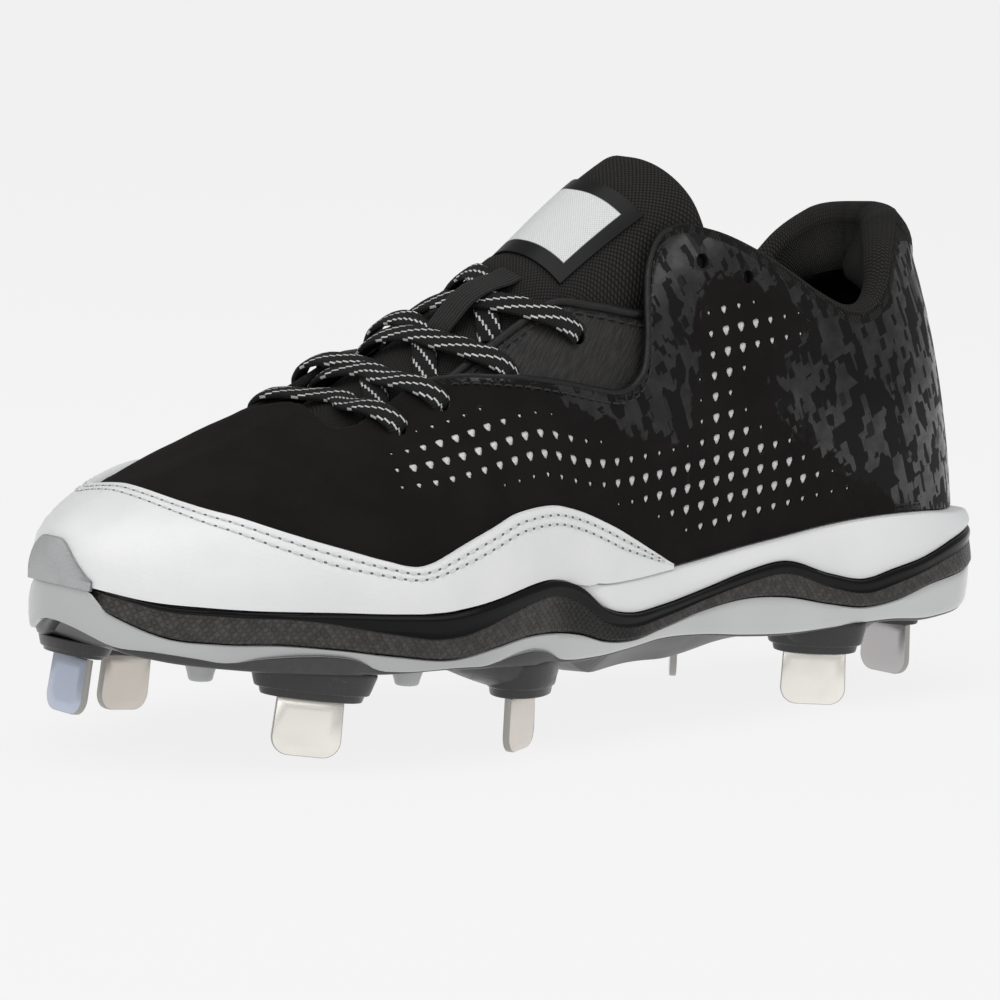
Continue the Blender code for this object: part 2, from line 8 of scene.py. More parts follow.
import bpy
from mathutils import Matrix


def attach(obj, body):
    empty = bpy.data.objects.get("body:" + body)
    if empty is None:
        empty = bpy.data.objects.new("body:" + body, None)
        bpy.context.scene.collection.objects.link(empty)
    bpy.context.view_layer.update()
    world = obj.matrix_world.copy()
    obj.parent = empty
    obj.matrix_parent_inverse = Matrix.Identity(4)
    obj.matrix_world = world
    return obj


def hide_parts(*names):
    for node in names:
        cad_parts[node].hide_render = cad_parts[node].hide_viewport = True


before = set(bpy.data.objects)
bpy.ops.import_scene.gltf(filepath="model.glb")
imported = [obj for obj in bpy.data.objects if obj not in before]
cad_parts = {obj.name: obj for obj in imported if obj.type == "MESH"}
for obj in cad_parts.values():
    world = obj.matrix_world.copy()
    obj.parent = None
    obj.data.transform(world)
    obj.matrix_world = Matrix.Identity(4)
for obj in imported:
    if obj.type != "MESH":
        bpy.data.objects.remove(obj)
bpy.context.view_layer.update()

import math

import bmesh
import bpy
import numpy as np
from mathutils import Matrix, Vector
from mathutils.geometry import delaunay_2d_cdt

MM = 0.001
BODY = "root"

# Sizes shared with the part's source
GAP = 0.3
WALL = 2.4
COLLAR_PAD = 5.5
GUARD_SKIN = 1.3
GUARD_GAP = 0.65
TONGUE_PAD = 6.0
TONGUE_ROOT = (24, 0, -13)

# Fineness of the surfaces
SKIN_STEP = 2.0       # between points of the upper's skin
EDGE_STEPS = 560      # points round the upper's edge
LOOP_STEPS = 360      # points round the sole
SHARP_ANGLE = 38      # degrees
WELD = 0.002          # points closer than this become one
ON_LINE = 0.001       # points closer to a line than this are on it
# Small steps for reading slopes: parts of the outline, then of a rib, and along the spine
OUTLINE_NUDGE = 0.001
ROUND_NUDGE = 0.002
RIB_NUDGE = 0.01
SPINE_NUDGE = 0.5

# Outline of the sole seen from above, from the heel along the outer side to the toe and back: x, y
OUTLINE = (
    (-146.5, 0), (-141, 18), (-128, 30.5), (-108, 36.5), (-70, 37), (-25, 38.5), (20, 44.5), (58, 49.5),
    (92, 45), (117, 36), (134, 23), (143.5, 10.5), (146.5, -2), (142.5, -13), (134, -23.5), (118, -36),
    (95, -45.5), (65, -50), (30, -46), (-10, -37.5), (-55, -33), (-95, -35), (-125, -29.5), (-140.5, -16),
)

# Heights of the sole's lines along the outline, and how far in from it the upper's foot stands
SOLE_COLUMNS = ("x", "plate_low", "plate_top", "band_top", "feather", "foot_inset")
SOLE = (
    (-146.5, 24.0, 33.0, 43.0, 47.0, 6.0),
    (-122, 22.0, 31.0, 40.5, 47.5, 6.0),
    (-108, 21.5, 29.5, 37.0, 48.5, 5.0),
    (-95, 21.3, 26.7, 34.7, 48.7, 4.5),
    (-84, 21.0, 25.7, 32.7, 48.3, 4.0),
    (-73, 20.5, 27.2, 34.7, 47.3, 4.0),
    (-56, 20.4, 30.3, 39.2, 45.3, 4.0),
    (-43, 21.2, 31.0, 37.7, 43.8, 4.0),
    (-28, 22.6, 29.5, 34.5, 41.8, 4.0),
    (-12, 23.0, 26.5, 31.8, 40.2, 4.0),
    (0, 21.8, 24.5, 31.0, 39.4, 4.0),
    (10, 21.0, 25.2, 33.3, 39.4, 4.0),
    (20, 21.0, 27.8, 39.5, 41.4, 4.0),
    (28, 21.3, 29.0, 41.8, 43.4, 3.5),
    (40, 22.0, 29.3, 41.0, 42.8, 3.2),
    (52, 22.7, 27.7, 38.8, 41.4, 3.0),
    (65, 23.4, 26.0, 37.0, 40.2, 3.0),
    (80, 23.3, 27.6, 37.4, 40.0, 3.0),
    (95, 23.6, 29.8, 38.4, 40.6, 3.0),
    (110, 24.7, 31.4, 39.0, 41.0, 3.0),
    (122, 25.5, 31.6, 39.4, 41.4, 3.0),
    (133, 26.8, 33.0, 40.2, 42.4, 3.0),
    (140, 28.6, 36.8, 42.2, 44.0, 3.0),
    (146.5, 34.0, 42.0, 43.8, 45.4, 3.0),
)

# Top line of the last, from behind the ankle down the instep to the front of the throat
SPINE_COLUMNS = ("x", "y", "z")
SPINE = (
    (-90, -1, 152), (-60, -1, 149), (-28, -2, 138), (-7, -3, 127),
    (15, -3, 113), (40, -3, 97.5), (58, -3, 87.5), (72, -3, 81),
)

# Ribs of the last: foot, place on the spine, rise before it turns in, reach of its shoulder, outward lean
RIB_COLUMNS = ("x", "spine_x", "rise", "shoulder", "lean")
RIBS = (
    (-146.5, -88, 0.58, 0.42, -6.0),
    (-125, -85, 0.58, 0.44, -5.0),
    (-100, -78, 0.62, 0.50, -1.0),
    (-60, -56, 0.66, 0.50, 1.5),
    (-20, -22, 0.62, 0.50, 2.0),
    (20, 16, 0.60, 0.42, 2.0),
    (55, 46, 0.54, 0.38, 2.0),
    (85, 62, 0.50, 0.41, 2.0),
    (115, 69, 0.47, 0.66, 1.8),
    (135, 71.5, 0.47, 0.78, 1.4),
    (146.5, 72, 0.48, 0.62, 2.0),
)

# Edge of the upper's opening, as the part of each rib that the upper covers
EDGE_COLUMNS = ("x", "cover")
EDGE = (
    (-146.5, 0.50), (-125, 0.478), (-109, 0.405), (-101, 0.346), (-94, 0.308), (-84, 0.296), (-73.5, 0.328),
    (-65, 0.37), (-54, 0.435), (-39, 0.538), (-29, 0.596), (-23.5, 0.60), (-19.5, 0.572), (-16, 0.52),
    (-14, 0.46), (-12.5, 0.40), (-10.5, 0.352), (-7, 0.328), (-1, 0.326), (7, 0.36), (16, 0.41), (25, 0.463),
    (35, 0.54), (45, 0.63), (56, 0.70), (68, 0.695), (77, 0.682), (84, 0.678), (89, 0.692), (94, 0.728),
    (98, 0.785), (102, 0.85), (108, 0.915), (118, 0.965), (128, 0.985), (146.5, 0.99),
)

# Top edge of the toe guard, as the part of each rib that it covers, and its lower edge's height
GUARD_COLUMNS = ("x", "cover", "low")
GUARD = (
    (-17.5, 0.003, 41.0), (-14.5, 0.012, 40.8), (-9, 0.031, 40.4), (-1, 0.061, 40.0), (9, 0.099, 40.0),
    (14, 0.114, 39.2), (20, 0.128, 39.8), (26, 0.138, 41.5), (32, 0.149, 42.2), (37.5, 0.160, 41.8),
    (43, 0.167, 40.9), (50, 0.161, 39.6), (57, 0.151, 38.5), (62, 0.139, 37.9), (66, 0.125, 37.5),
    (70, 0.111, 37.4), (74, 0.105, 37.4), (78, 0.113, 37.6), (82, 0.130, 37.8), (87, 0.151, 38.1),
    (94.5, 0.188, 38.6), (105, 0.250, 39.1), (115, 0.325, 39.5), (125, 0.418, 40.1), (135, 0.505, 41.0),
    (146.5, 0.53, 44.1),
)
GUARD_END = -16.5

# Lace wings: panels that the scoop shows, tucked under the quarter's edge
WING_COLUMNS = ("x", "low", "top")
WING = (
    (-18, 0.24, 0.43), (-11, 0.24, 0.465), (0, 0.24, 0.545), (12, 0.29, 0.645),
    (22, 0.34, 0.655), (34, 0.43, 0.664), (46, 0.54, 0.67), (53, 0.61, 0.668),
)

# Blades, and the bases that hold them
BLADE_WIDTH = 16.4
BLADE_THICK = 1.8
BLADE_HEIGHT = 13.4
BLADE_CORNER = 4.2
BASE_SINK = 1.2
BASE_REACH = 2.2      # how far the moulded base goes on up into the plate
# Cleats: name, tip's x and y, heading of its width, tip's height, forward lean, base's half width and depth
CLEATS = (
    ("toe", 130.5, -13, 82, 9.6, 9.0, 12.0, 7.5),
    ("ball_inner", 95.5, -36, 8, 3.6, 6.0, 12.5, 7.5),
    ("ball_outer", 96, 33, -32, 3.6, 6.0, 15.0, 9.0),
    ("rear_outer", 32, 36.5, 26, 0.0, 0.0, 12.5, 8.5),
    ("rear_inner", 27, -36, -26, 0.0, 0.0, 12.5, 8.5),
    ("heel_outer", -78, 26, -42, 0.0, 0.0, 13.0, 8.5),
    ("heel_inner", -78, -25, 47, 0.0, 0.0, 13.0, 8.5),
    ("heel_back", -131, 0, 90, 0.0, 0.0, 12.0, 7.5),
)

# Small moulded nubs between the cleats: name, x, y, radius, height
NUBS = (
    ("a", 108, 9, 4.2, 5.0), ("b", 98, -6, 3.2, 4.0), ("c", 66, 34, 4.2, 4.5),
    ("d", 62, -34, 4.2, 4.5), ("e", 60, 0, 4.2, 4.5),
)

# Field of perforations on each side of the quarter: rib's foot x, distance up the rib
PERF_PITCH = 5.15
PERF_START = (-33.1, 18.2)
PERF_RADIUS = 1.3
PERF_FADE = 7.5       # distance from the field's edge at which holes reach their full size
PERF_LEAST = 0.34     # size of the holes at the field's edge, as a part of the full size
PERF_MARGIN = 0.15    # how far inside the field a hole has to be
PERF_DEPTH = 0.5
PERF_CROWN = 0.32     # how far the cloth at its bottom swells up
PERF_FIELD = (
    (78.6, 33.3), (75.3, 39.7), (59.3, 46.5), (43.1, 45.0), (32.3, 40.5), (19.1, 38.9), (11.8, 35.8),
    (-1.7, 32.7), (-24.1, 29.5), (-27.1, 39.3), (-29.7, 58.7), (-37.0, 65.0), (-49.7, 60.5), (-71.3, 51.8),
    (-63.3, 46.5), (-48.7, 44.4), (-41.4, 38.3), (-49.7, 30.1), (-60.3, 25.8), (-69.6, 17.8), (-81.0, 7.4),
    (-56.0, 3.6), (-28.7, 2.6), (-10.6, 12.0), (10.2, 20.6), (26.7, 20.0), (52.7, 23.9), (68.3, 24.5),
    (77.9, 27.5),
)

# Gloss film round the heel, along the collar, down the eyestay and under the scoop: rib's foot x, distance up
FILM = (
    (-101.7, -5.0), (-101.7, 0.0), (-95.4, 3.1), (-80.0, 12.4), (-62.3, 25.4), (-53.3, 34.4), (-52.7, 39.5),
    (-59.3, 45.9), (-70.0, 51.0), (-60.0, 58.5), (-50.0, 65.0), (-42.0, 68.5), (-36.0, 69.0), (-30.0, 63.0),
    (-27.4, 55.0), (-26.8, 44.4), (-25.0, 37.0), (-22.0, 31.5), (-8.9, 32.0), (4.2, 39.0), (19.7, 43.5),
    (34.0, 48.5), (48.4, 55.5), (54.0, 62.0), (45.0, 95.0), (-20.0, 110.0), (-160.0, 110.0), (-160.0, -5.0),
)

# Punched holes: rib's foot x, part of the rib, radius
TOP_EYELETS = ((-33.7, 0.488, 1.9), (-47.7, 0.41, 1.7))
VAMP_EYELETS = ((69.6, 0.586, 2.3), (54.0, 0.586, 2.3))
WING_EYELETS = ((30.6, 0.522, 2.3), (7.2, 0.506, 2.3))
EYELET_DEPTH = 2.1    # of those in the upper

# Soft troughs on vamp and quarter: rib's foot x, distance up, reach along, reach across, depth
CREASES = (
    (92, 38, 16, 2.6, 0.45), (84, 47, 12, 2.2, 0.35), (-64, 30, 3.5, 12, 0.35), (-20, 14, 10, 3.0, 0.25),
)


# Form of the last and the sole, as in the part's source

def through(knots, values, at):
    """A smooth curve through the values at the knots, read at these places."""
    knots = np.asarray(knots, float)
    values = np.asarray(values, float)
    at = np.asarray(at, float)
    steps = np.diff(knots)
    spread = steps.reshape((-1,) + (1,) * (values.ndim - 1))
    slopes = np.diff(values, axis=0) / spread
    weight = spread[1:] / (spread[1:] + spread[:-1])
    tangents = np.concatenate([slopes[:1], weight * slopes[:-1] + (1 - weight) * slopes[1:], slopes[-1:]])
    index = np.clip(np.searchsorted(knots, at, side="right") - 1, 0, len(knots) - 2)
    step = steps[index]
    t = np.clip((at - knots[index]) / step, 0, 1)
    if values.ndim > 1:
        step = step[..., None]
        t = t[..., None]
    start = (1 + 2 * t) * (1 - t) ** 2 * values[index] + t * (1 - t) ** 2 * step * tangents[index]
    end = t * t * (3 - 2 * t) * values[index + 1] + t * t * (t - 1) * step * tangents[index + 1]
    return start + end


def column(columns, table, name, x):
    """One column of a table, read smoothly at these x."""
    rows = np.array(table, float)
    return through(rows[:, 0], rows[:, columns.index(name)], x)


def lengths_along(points):
    """Distance along a path at each of its points."""
    steps = np.linalg.norm(np.diff(points, axis=0), axis=1)
    return np.concatenate([[0], np.cumsum(steps)])


def outline(s):
    """Point of the sole's outline at s, a fraction of the way round from the heel by the outer side."""
    corners = np.array(OUTLINE, float)
    wrapped = np.vstack([corners[-3:], corners, corners[:4]])
    along = lengths_along(wrapped)
    first = along[3]
    last = along[3 + len(corners)]
    return through(along, wrapped, first + np.mod(s, 1.0) * (last - first))


def outward(s):
    """Unit vector straight out of the outline at s."""
    step = outline(np.asarray(s) + OUTLINE_NUDGE) - outline(np.asarray(s) - OUTLINE_NUDGE)
    normal = np.stack([-step[..., 1], step[..., 0]], -1)
    return normal / np.linalg.norm(normal, axis=-1, keepdims=True)


def sole_line(name, s):
    return column(SOLE_COLUMNS, SOLE, name, outline(s)[..., 0])


def sole_loop(s, inset, height):
    """Points round the sole, this far in from the outline and at these heights."""
    flat = outline(s) - outward(s) * np.broadcast_to(inset, np.shape(s))[..., None]
    return np.concatenate([flat, np.broadcast_to(height, np.shape(s))[..., None]], -1)


def spine(x):
    return np.stack([x, column(SPINE_COLUMNS, SPINE, "y", x), column(SPINE_COLUMNS, SPINE, "z", x)], -1)


def last_form(s, part):
    """The last's surface: the rib that starts at s on the feather line, this part of the way to the spine."""
    s, part = np.broadcast_arrays(np.asarray(s, float), np.asarray(part, float))
    x = outline(s)[..., 0]
    foot = sole_loop(s, sole_line("foot_inset", s), sole_line("feather", s))
    top_x = column(RIB_COLUMNS, RIBS, "spine_x", x)
    top = spine(top_x)
    behind = spine(top_x - SPINE_NUDGE)
    slope = (top[..., 2] - behind[..., 2]) / SPINE_NUDGE
    across = top[..., :2] - foot[..., :2]
    reach = np.linalg.norm(across, axis=-1, keepdims=True)
    across = across / reach
    wall = foot.copy()
    wall[..., 2] += column(RIB_COLUMNS, RIBS, "rise", x) * (top[..., 2] - foot[..., 2])
    wall[..., :2] += outward(s) * column(RIB_COLUMNS, RIBS, "lean", x)[..., None]
    shoulder = top.copy()
    back = column(RIB_COLUMNS, RIBS, "shoulder", x)[..., None] * reach
    shoulder[..., :2] -= across * back
    shoulder[..., 2] -= back[..., 0] * slope * across[..., 0]
    t = part[..., None]
    return foot * (1 - t) ** 3 + 3 * wall * t * (1 - t) ** 2 + 3 * shoulder * t * t * (1 - t) + top * t**3


def last_normal(s, part):
    """Unit vector straight out of the last."""
    s, part = np.broadcast_arrays(np.asarray(s, float), np.asarray(part, float))
    round_step = last_form(s + ROUND_NUDGE, part) - last_form(s - ROUND_NUDGE, part)
    above = last_form(s, np.minimum(part + RIB_NUDGE, 1))
    below = last_form(s, np.maximum(part - RIB_NUDGE, 0))
    normal = np.cross(above - below, round_step)
    return normal / np.linalg.norm(normal, axis=-1, keepdims=True)


def skin(s, part, offset):
    """The last's surface moved out by this much, or in where it is negative."""
    return last_form(s, part) + last_normal(s, part) * np.asarray(offset, float)[..., None]


def smooth_step(low, high, x):
    t = np.clip((np.asarray(x, float) - low) / (high - low), 0, 1)
    return t * t * (3 - 2 * t)


def side_s(x, side):
    """The s on the outer (side 1) or inner (side -1) half of the outline where it passes x."""
    half = np.linspace(0, 0.5, 600)
    s = half if side > 0 else 1 - half
    return np.interp(x, outline(s)[:, 0], s)


def rib_at_spine(x, side):
    """The s of the rib that ends on the spine at x."""
    feet = np.linspace(RIBS[0][0], RIBS[-1][0], 400)
    ends = column(RIB_COLUMNS, RIBS, "spine_x", feet)
    return side_s(np.interp(x, ends, feet), side)


# Distances along the ribs, so that holes, film and stitches have real sizes on the skin

RIB_COUNT = 280
RIB_STEPS = 160


def rib_tables():
    """For ribs all round: distance up each rib at even parts, its length, and its parts at even distances."""
    s = np.arange(RIB_COUNT) / RIB_COUNT
    parts = np.linspace(0, 1, RIB_STEPS + 1)
    form = last_form(s[:, None], parts[None, :])
    steps = np.linalg.norm(np.diff(form, axis=1), axis=2)
    arcs = np.concatenate([np.zeros((RIB_COUNT, 1)), np.cumsum(steps, axis=1)], axis=1)
    lengths = arcs[:, -1:]
    back = np.array([np.interp(parts * row[-1], row, parts) for row in arcs])
    return arcs, lengths, back


ARCS, LENGTHS, PARTS = rib_tables()
PERIMETER = float(np.linalg.norm(np.diff(outline(np.linspace(0, 1, 2001)), axis=0), axis=1).sum())


def look_up(table, s, share):
    """A table read between its ribs, round the shoe, and between its columns."""
    s, share = np.broadcast_arrays(np.asarray(s, float), np.asarray(share, float))
    at = np.mod(s, 1.0) * RIB_COUNT
    rib = np.floor(at).astype(int) % RIB_COUNT
    between = at - np.floor(at)
    last = table.shape[1] - 1
    place = np.clip(share, 0, 1) * last
    cell = np.minimum(np.floor(place).astype(int), max(last - 1, 0))
    within = place - cell
    after = np.minimum(cell + 1, last)
    beyond = (rib + 1) % RIB_COUNT
    first = table[rib, cell] * (1 - within) + table[rib, after] * within
    second = table[beyond, cell] * (1 - within) + table[beyond, after] * within
    return first * (1 - between) + second * between


def arc_at(s, part):
    return look_up(ARCS, s, part)


def part_at(s, arc):
    return look_up(PARTS, s, arc / look_up(LENGTHS, s, 0))


def edge_cover(s):
    return column(EDGE_COLUMNS, EDGE, "cover", outline(s)[..., 0])


def chart_of(s, arc, third=0.0):
    """Flat coordinates of the skin for its materials: round from the heel, up the rib, and one more value."""
    round_way = PERIMETER * np.minimum(np.mod(s, 1.0), 1 - np.mod(s, 1.0))
    return np.stack(np.broadcast_arrays(round_way, arc, np.asarray(third, float)), -1)


def distance_inside(points, corners):
    """Distance from each point to a polygon's edge, positive inside it."""
    corners = np.asarray(corners, float)
    following = np.roll(corners, -1, axis=0)
    nearest = np.full(len(points), np.inf)
    inside = np.zeros(len(points), bool)
    for start, end in zip(corners, following):
        way = end - start
        share = np.clip((points - start) @ way / (way @ way), 0, 1)
        nearest = np.minimum(nearest, np.linalg.norm(points - start - share[:, None] * way, axis=1))
        crosses = (start[1] > points[:, 1]) != (end[1] > points[:, 1])
        rise = end[1] - start[1] if end[1] != start[1] else 1.0
        inside ^= crosses & (points[:, 0] < start[0] + (points[:, 1] - start[1]) * way[0] / rise)
    return np.where(inside, nearest, -nearest)


# Meshes

class Shape:
    """Points and faces gathered for one mesh, each face with the number of its material."""

    def __init__(self):
        self.points = []
        self.charts = []
        self.faces = []
        self.kinds = []
        self.total = 0

    def add(self, points, faces, kind=0, chart=None):
        points = np.asarray(points, float).reshape(-1, 3)
        chart = np.zeros((len(points), 3)) if chart is None else np.asarray(chart, float).reshape(-1, 3)
        self.points.append(points)
        self.charts.append(chart)
        self.faces += [tuple(int(i) + self.total for i in face) for face in faces]
        self.kinds += [kind] * len(faces)
        self.total += len(points)

    def grid(self, rows, kind=0, chart=None, closed=False):
        """Quads over rows of points; closed joins the end of each row to its start."""
        rows = np.asarray(rows, float)
        self.add(rows, grid_faces(rows.shape[0], rows.shape[1], closed), kind, chart)

    def make(self, name, looks, sharp=SHARP_ANGLE):
        """The mesh object, its doubled points welded and its faces turned out."""
        mesh = bpy.data.meshes.new(name)
        mesh.from_pydata((np.concatenate(self.points) * MM).tolist(), [], self.faces)
        mesh.polygons.foreach_set("material_index", self.kinds)
        chart = mesh.attributes.new("chart", "FLOAT_VECTOR", "POINT")
        chart.data.foreach_set("vector", np.concatenate(self.charts).ravel())
        for look in looks:
            mesh.materials.append(look)
        builder = bmesh.new()
        builder.from_mesh(mesh)
        bmesh.ops.remove_doubles(builder, verts=builder.verts, dist=WELD * MM)
        bmesh.ops.recalc_face_normals(builder, faces=builder.faces)
        builder.to_mesh(mesh)
        builder.free()
        mesh.shade_smooth()
        mesh.set_sharp_from_angle(angle=math.radians(sharp))
        made = bpy.data.objects.new(name, mesh)
        bpy.context.scene.collection.objects.link(made)
        return made


def grid_faces(rows, columns, closed):
    faces = []
    for i in range(rows - 1):
        for j in range(columns if closed else columns - 1):
            k = (j + 1) % columns
            faces.append((i * columns + j, i * columns + k, (i + 1) * columns + k, (i + 1) * columns + j))
    return faces


def place(made, slot, *nodes):
    """The piece rides with the shoe and stands for these solids. The slot is not used."""
    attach(made, BODY)
    if nodes:
        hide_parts(*nodes)
    return made


def triangulate(border, holes, lattice, lines=()):
    """Points and triangles over a flat region with holes in it, with edges along these lines."""
    loops = []
    start = 0
    for loop in [border, *holes]:
        loops.append(list(range(start, start + len(loop))))
        start += len(loop)
    flat = [Vector(point) for point in np.concatenate([border, *holes, lattice])]
    kept = []
    for line in lines:
        kept += [(len(flat) + i, len(flat) + i + 1) for i in range(len(line) - 1)]
        flat += [Vector(point) for point in line]
    made = delaunay_2d_cdt(flat, kept, loops, 1, 1e-6)
    points = np.array([tuple(point) for point in made[0]])
    faces = [face for face, inside in zip(made[2], made[5]) if len(inside) == 1]
    return points, faces


def clear_lattice(lattice, holes, margin):
    """The lattice without its points in or near the holes."""
    keep = np.ones(len(lattice), bool)
    for hole in holes:
        middle = hole.mean(axis=0)
        radius = np.linalg.norm(hole - middle, axis=1).max()
        keep &= np.linalg.norm(lattice - middle, axis=1) > radius + margin
    return lattice[keep]


def ring_angles(count):
    return np.arange(count) / count * 2 * math.pi


def hole_outline(middle, radius, points, point_down):
    """A round hole, or one that is drawn out to a blunt tip below."""
    angle = ring_angles(points)
    reach = radius * (1 + point_down * np.cos(3 * (angle + math.pi / 2)))
    return np.stack([middle[0] + reach * np.cos(angle), middle[1] + reach * np.sin(angle)], -1)


def sweep(shape, path, up, width, thick, sides=14, kind=0, flat=1.0):
    """A cord along a path. Its flat face looks along up, and flat under 1 squares its section."""
    path = np.asarray(path, float)
    along = np.gradient(path, axis=0)
    along /= np.linalg.norm(along, axis=1, keepdims=True)
    side = np.cross(along, up)
    side /= np.linalg.norm(side, axis=1, keepdims=True)
    face = np.cross(side, along)
    angle = ring_angles(sides)
    across = np.sign(np.cos(angle)) * np.abs(np.cos(angle)) ** flat * width / 2
    out = np.sign(np.sin(angle)) * np.abs(np.sin(angle)) ** flat * thick / 2
    rings = path[:, None] + side[:, None] * across[None, :, None] + face[:, None] * out[None, :, None]
    length = lengths_along(path)
    steps = np.hypot(across - np.roll(across, 1), out - np.roll(out, 1))
    girth = np.concatenate([[0], np.cumsum(steps[1:])])
    half = girth[sides // 2]
    round_way = np.abs(girth - half) - half / 2
    chart = np.stack(np.broadcast_arrays(length[:, None], round_way[None], out[None]), -1)
    shape.grid(rings, kind, chart, closed=True)
    ends = [tuple(range(sides))]
    shape.add(rings[0], ends, kind, chart[0])
    shape.add(rings[-1], ends, kind, chart[-1])


def resample(path, spacing, extra=None):
    """A path's points at even spacing, smooth through its own points, with any values carried along."""
    path = np.asarray(path, float)
    length = lengths_along(path)
    count = max(int(round(length[-1] / spacing)), 2)
    at = np.linspace(0, length[-1], count + 1)
    points = through(length, path, at)
    return points if extra is None else (points, through(length, np.asarray(extra, float), at))


STITCH_SINK = 0.25    # part of the thread's thickness by which its ends dive in
STITCH_POINTS = 5
STITCH_SIDES = 6


def add_stitches(shape, path, up, pitch, thread, share=0.72):
    """Stitches along a path on a surface, each a short thread whose ends dive into it."""
    points, ups = resample(path, pitch, up)
    places = np.linspace(0, 1, STITCH_POINTS)
    for start, end, normal in zip(points[:-1], points[1:], ups[:-1]):
        normal = normal / np.linalg.norm(normal)
        reach = (end - start) * share
        height = thread * (1.0 - STITCH_SINK) * np.sin(places * math.pi) ** 0.5 - thread * STITCH_SINK
        line = start + reach * places[:, None] + normal * height[:, None]
        sweep(shape, line, np.tile(normal, (STITCH_POINTS, 1)), thread, thread * 0.8, sides=STITCH_SIDES)


def cap_ends(shape, rows):
    """Flat ends of a strip whose last row lies on its first."""
    for end in (0, -1):
        rim = [row[end] for row in rows[:-1]]
        shape.add(rim, [tuple(range(len(rim)))])


def over_last(spots, side):
    """Points over the last and the ways out of it, from rows of the rib's foot x, part of it and height."""
    points = []
    ways_out = []
    for x, part, height in spots:
        s = side_s(x, side)
        points.append(skin(s, part, height))
        ways_out.append(last_normal(s, part))
    return points, ways_out


# Materials

class Look:
    """A material and the nodes that shape it."""

    def __init__(self, name, colour, roughness, metallic=0.0, **sockets):
        self.material = bpy.data.materials.new(name)
        self.material.use_nodes = True
        self.tree = self.material.node_tree
        self.shader = self.tree.nodes["Principled BSDF"]
        self.set("Base Color", colour)
        self.set("Roughness", roughness)
        self.set("Metallic", metallic)
        for socket, value in sockets.items():
            self.set(socket.replace("_", " "), value)

    def put(self, socket, value):
        if isinstance(value, bpy.types.NodeSocket):
            self.tree.links.new(value, socket)
        elif isinstance(value, tuple) and len(value) == 3 and socket.type == "RGBA":
            socket.default_value = (*value, 1.0)
        else:
            socket.default_value = value

    def set(self, socket, value):
        self.put(self.shader.inputs[socket], value)

    def node(self, kind, inputs=None, **settings):
        made = self.tree.nodes.new("ShaderNode" + kind)
        for key, value in settings.items():
            setattr(made, key, value)
        for key, value in (inputs or {}).items():
            self.put(made.inputs[key], value)
        return made

    def math(self, operation, a, b=0.0):
        return self.node("Math", {0: a, 1: b}, operation=operation).outputs[0]

    def plus(self, a, b):
        return self.math("ADD", a, b)

    def minus(self, a, b):
        return self.math("SUBTRACT", a, b)

    def times(self, a, b):
        return self.math("MULTIPLY", a, b)

    def over(self, a, b):
        return self.math("DIVIDE", a, b)

    def sine(self, a):
        return self.math("SINE", a)

    def absolute(self, a):
        return self.math("ABSOLUTE", a)

    def mix(self, share, first, second):
        made = self.node("Mix", data_type="RGBA")
        self.put(made.inputs[0], share)
        self.put(made.inputs[6], first)
        self.put(made.inputs[7], second)
        return made.outputs[2]

    def ramp(self, value, low, high, first=0.0, second=1.0):
        """The value's range from low to high, smoothly stretched from first to second."""
        made = self.node(
            "MapRange", {0: value, 1: low, 2: high, 3: first, 4: second}, interpolation_type="SMOOTHSTEP"
        )
        return made.outputs[0]

    def tint(self, value, low, high, first, second):
        """Colour from first to second as the value goes from low to high."""
        return self.mix(self.ramp(value, low, high), first, second)

    def colour(self, *tint):
        self.set("Base Color", self.tint(*tint))

    def rough(self, *ramp):
        self.set("Roughness", self.ramp(*ramp))

    def place(self):
        return self.node("TexCoord").outputs["Object"]

    def place_parts(self):
        return self.node("SeparateXYZ", {0: self.place()}).outputs

    def chart(self):
        return self.node("Attribute", attribute_name="chart").outputs["Vector"]

    def chart_parts(self):
        parts = self.node("SeparateXYZ", {0: self.chart()})
        return parts.outputs[0], parts.outputs[1], parts.outputs[2]

    def turned(self, along, up, scale, degrees=0.0):
        """A flat place turned by this angle, then stretched along its new axes."""
        flat = self.node("CombineXYZ", {0: along, 1: up}).outputs[0]
        turn = (0, 0, math.radians(degrees))
        turned = self.node("Mapping", {"Vector": flat, "Rotation": turn}).outputs[0]
        return self.node("Mapping", {"Vector": turned, "Scale": (*scale, 1)}).outputs[0]

    def noise(self, scale, detail=2.0, roughness=0.5, vector=None):
        settings = {
            "Vector": self.place() if vector is None else vector,
            "Scale": scale, "Detail": detail, "Roughness": roughness,
        }
        return self.node("TexNoise", settings).outputs["Fac"]

    def cells(self, vector, scale, randomness=1.0, distance="EUCLIDEAN"):
        settings = {"Vector": vector, "Scale": scale, "Randomness": randomness}
        return self.node("TexVoronoi", settings, distance=distance)

    def tones(self, cells):
        """The chance values that each cell has."""
        return self.node("SeparateColor", {0: cells.outputs["Color"]}).outputs

    def bump(self, *layers):
        """Bump from (height, depth in millimetres) layers, each laid over the one before."""
        normal = None
        for height, depth in layers:
            made = self.node("Bump", {"Height": height, "Strength": 1.0, "Distance": depth * MM})
            if normal is not None:
                self.put(made.inputs["Normal"], normal)
            normal = made.outputs[0]
        self.set("Normal", normal)


def knit_height(look, pitch_along, pitch_across):
    """Height of a mesh knit: rows of small rhombs on the chart."""
    along, up, _ = look.chart_parts()
    turns = (look.over(along, pitch_along), look.over(up, pitch_across))
    ways = (look.plus(*turns), look.minus(*turns))
    first, second = (look.absolute(look.sine(look.times(way, math.pi))) for way in ways)
    return look.times(first, second)


# Gloss print: turn of its blocks in degrees, how far it is shifted on the inner side, raggedness of its edge
PRINT_TURN = 20
PRINT_SHIFT = (61.0, 23.0)
PRINT_RAGGED = 4.0


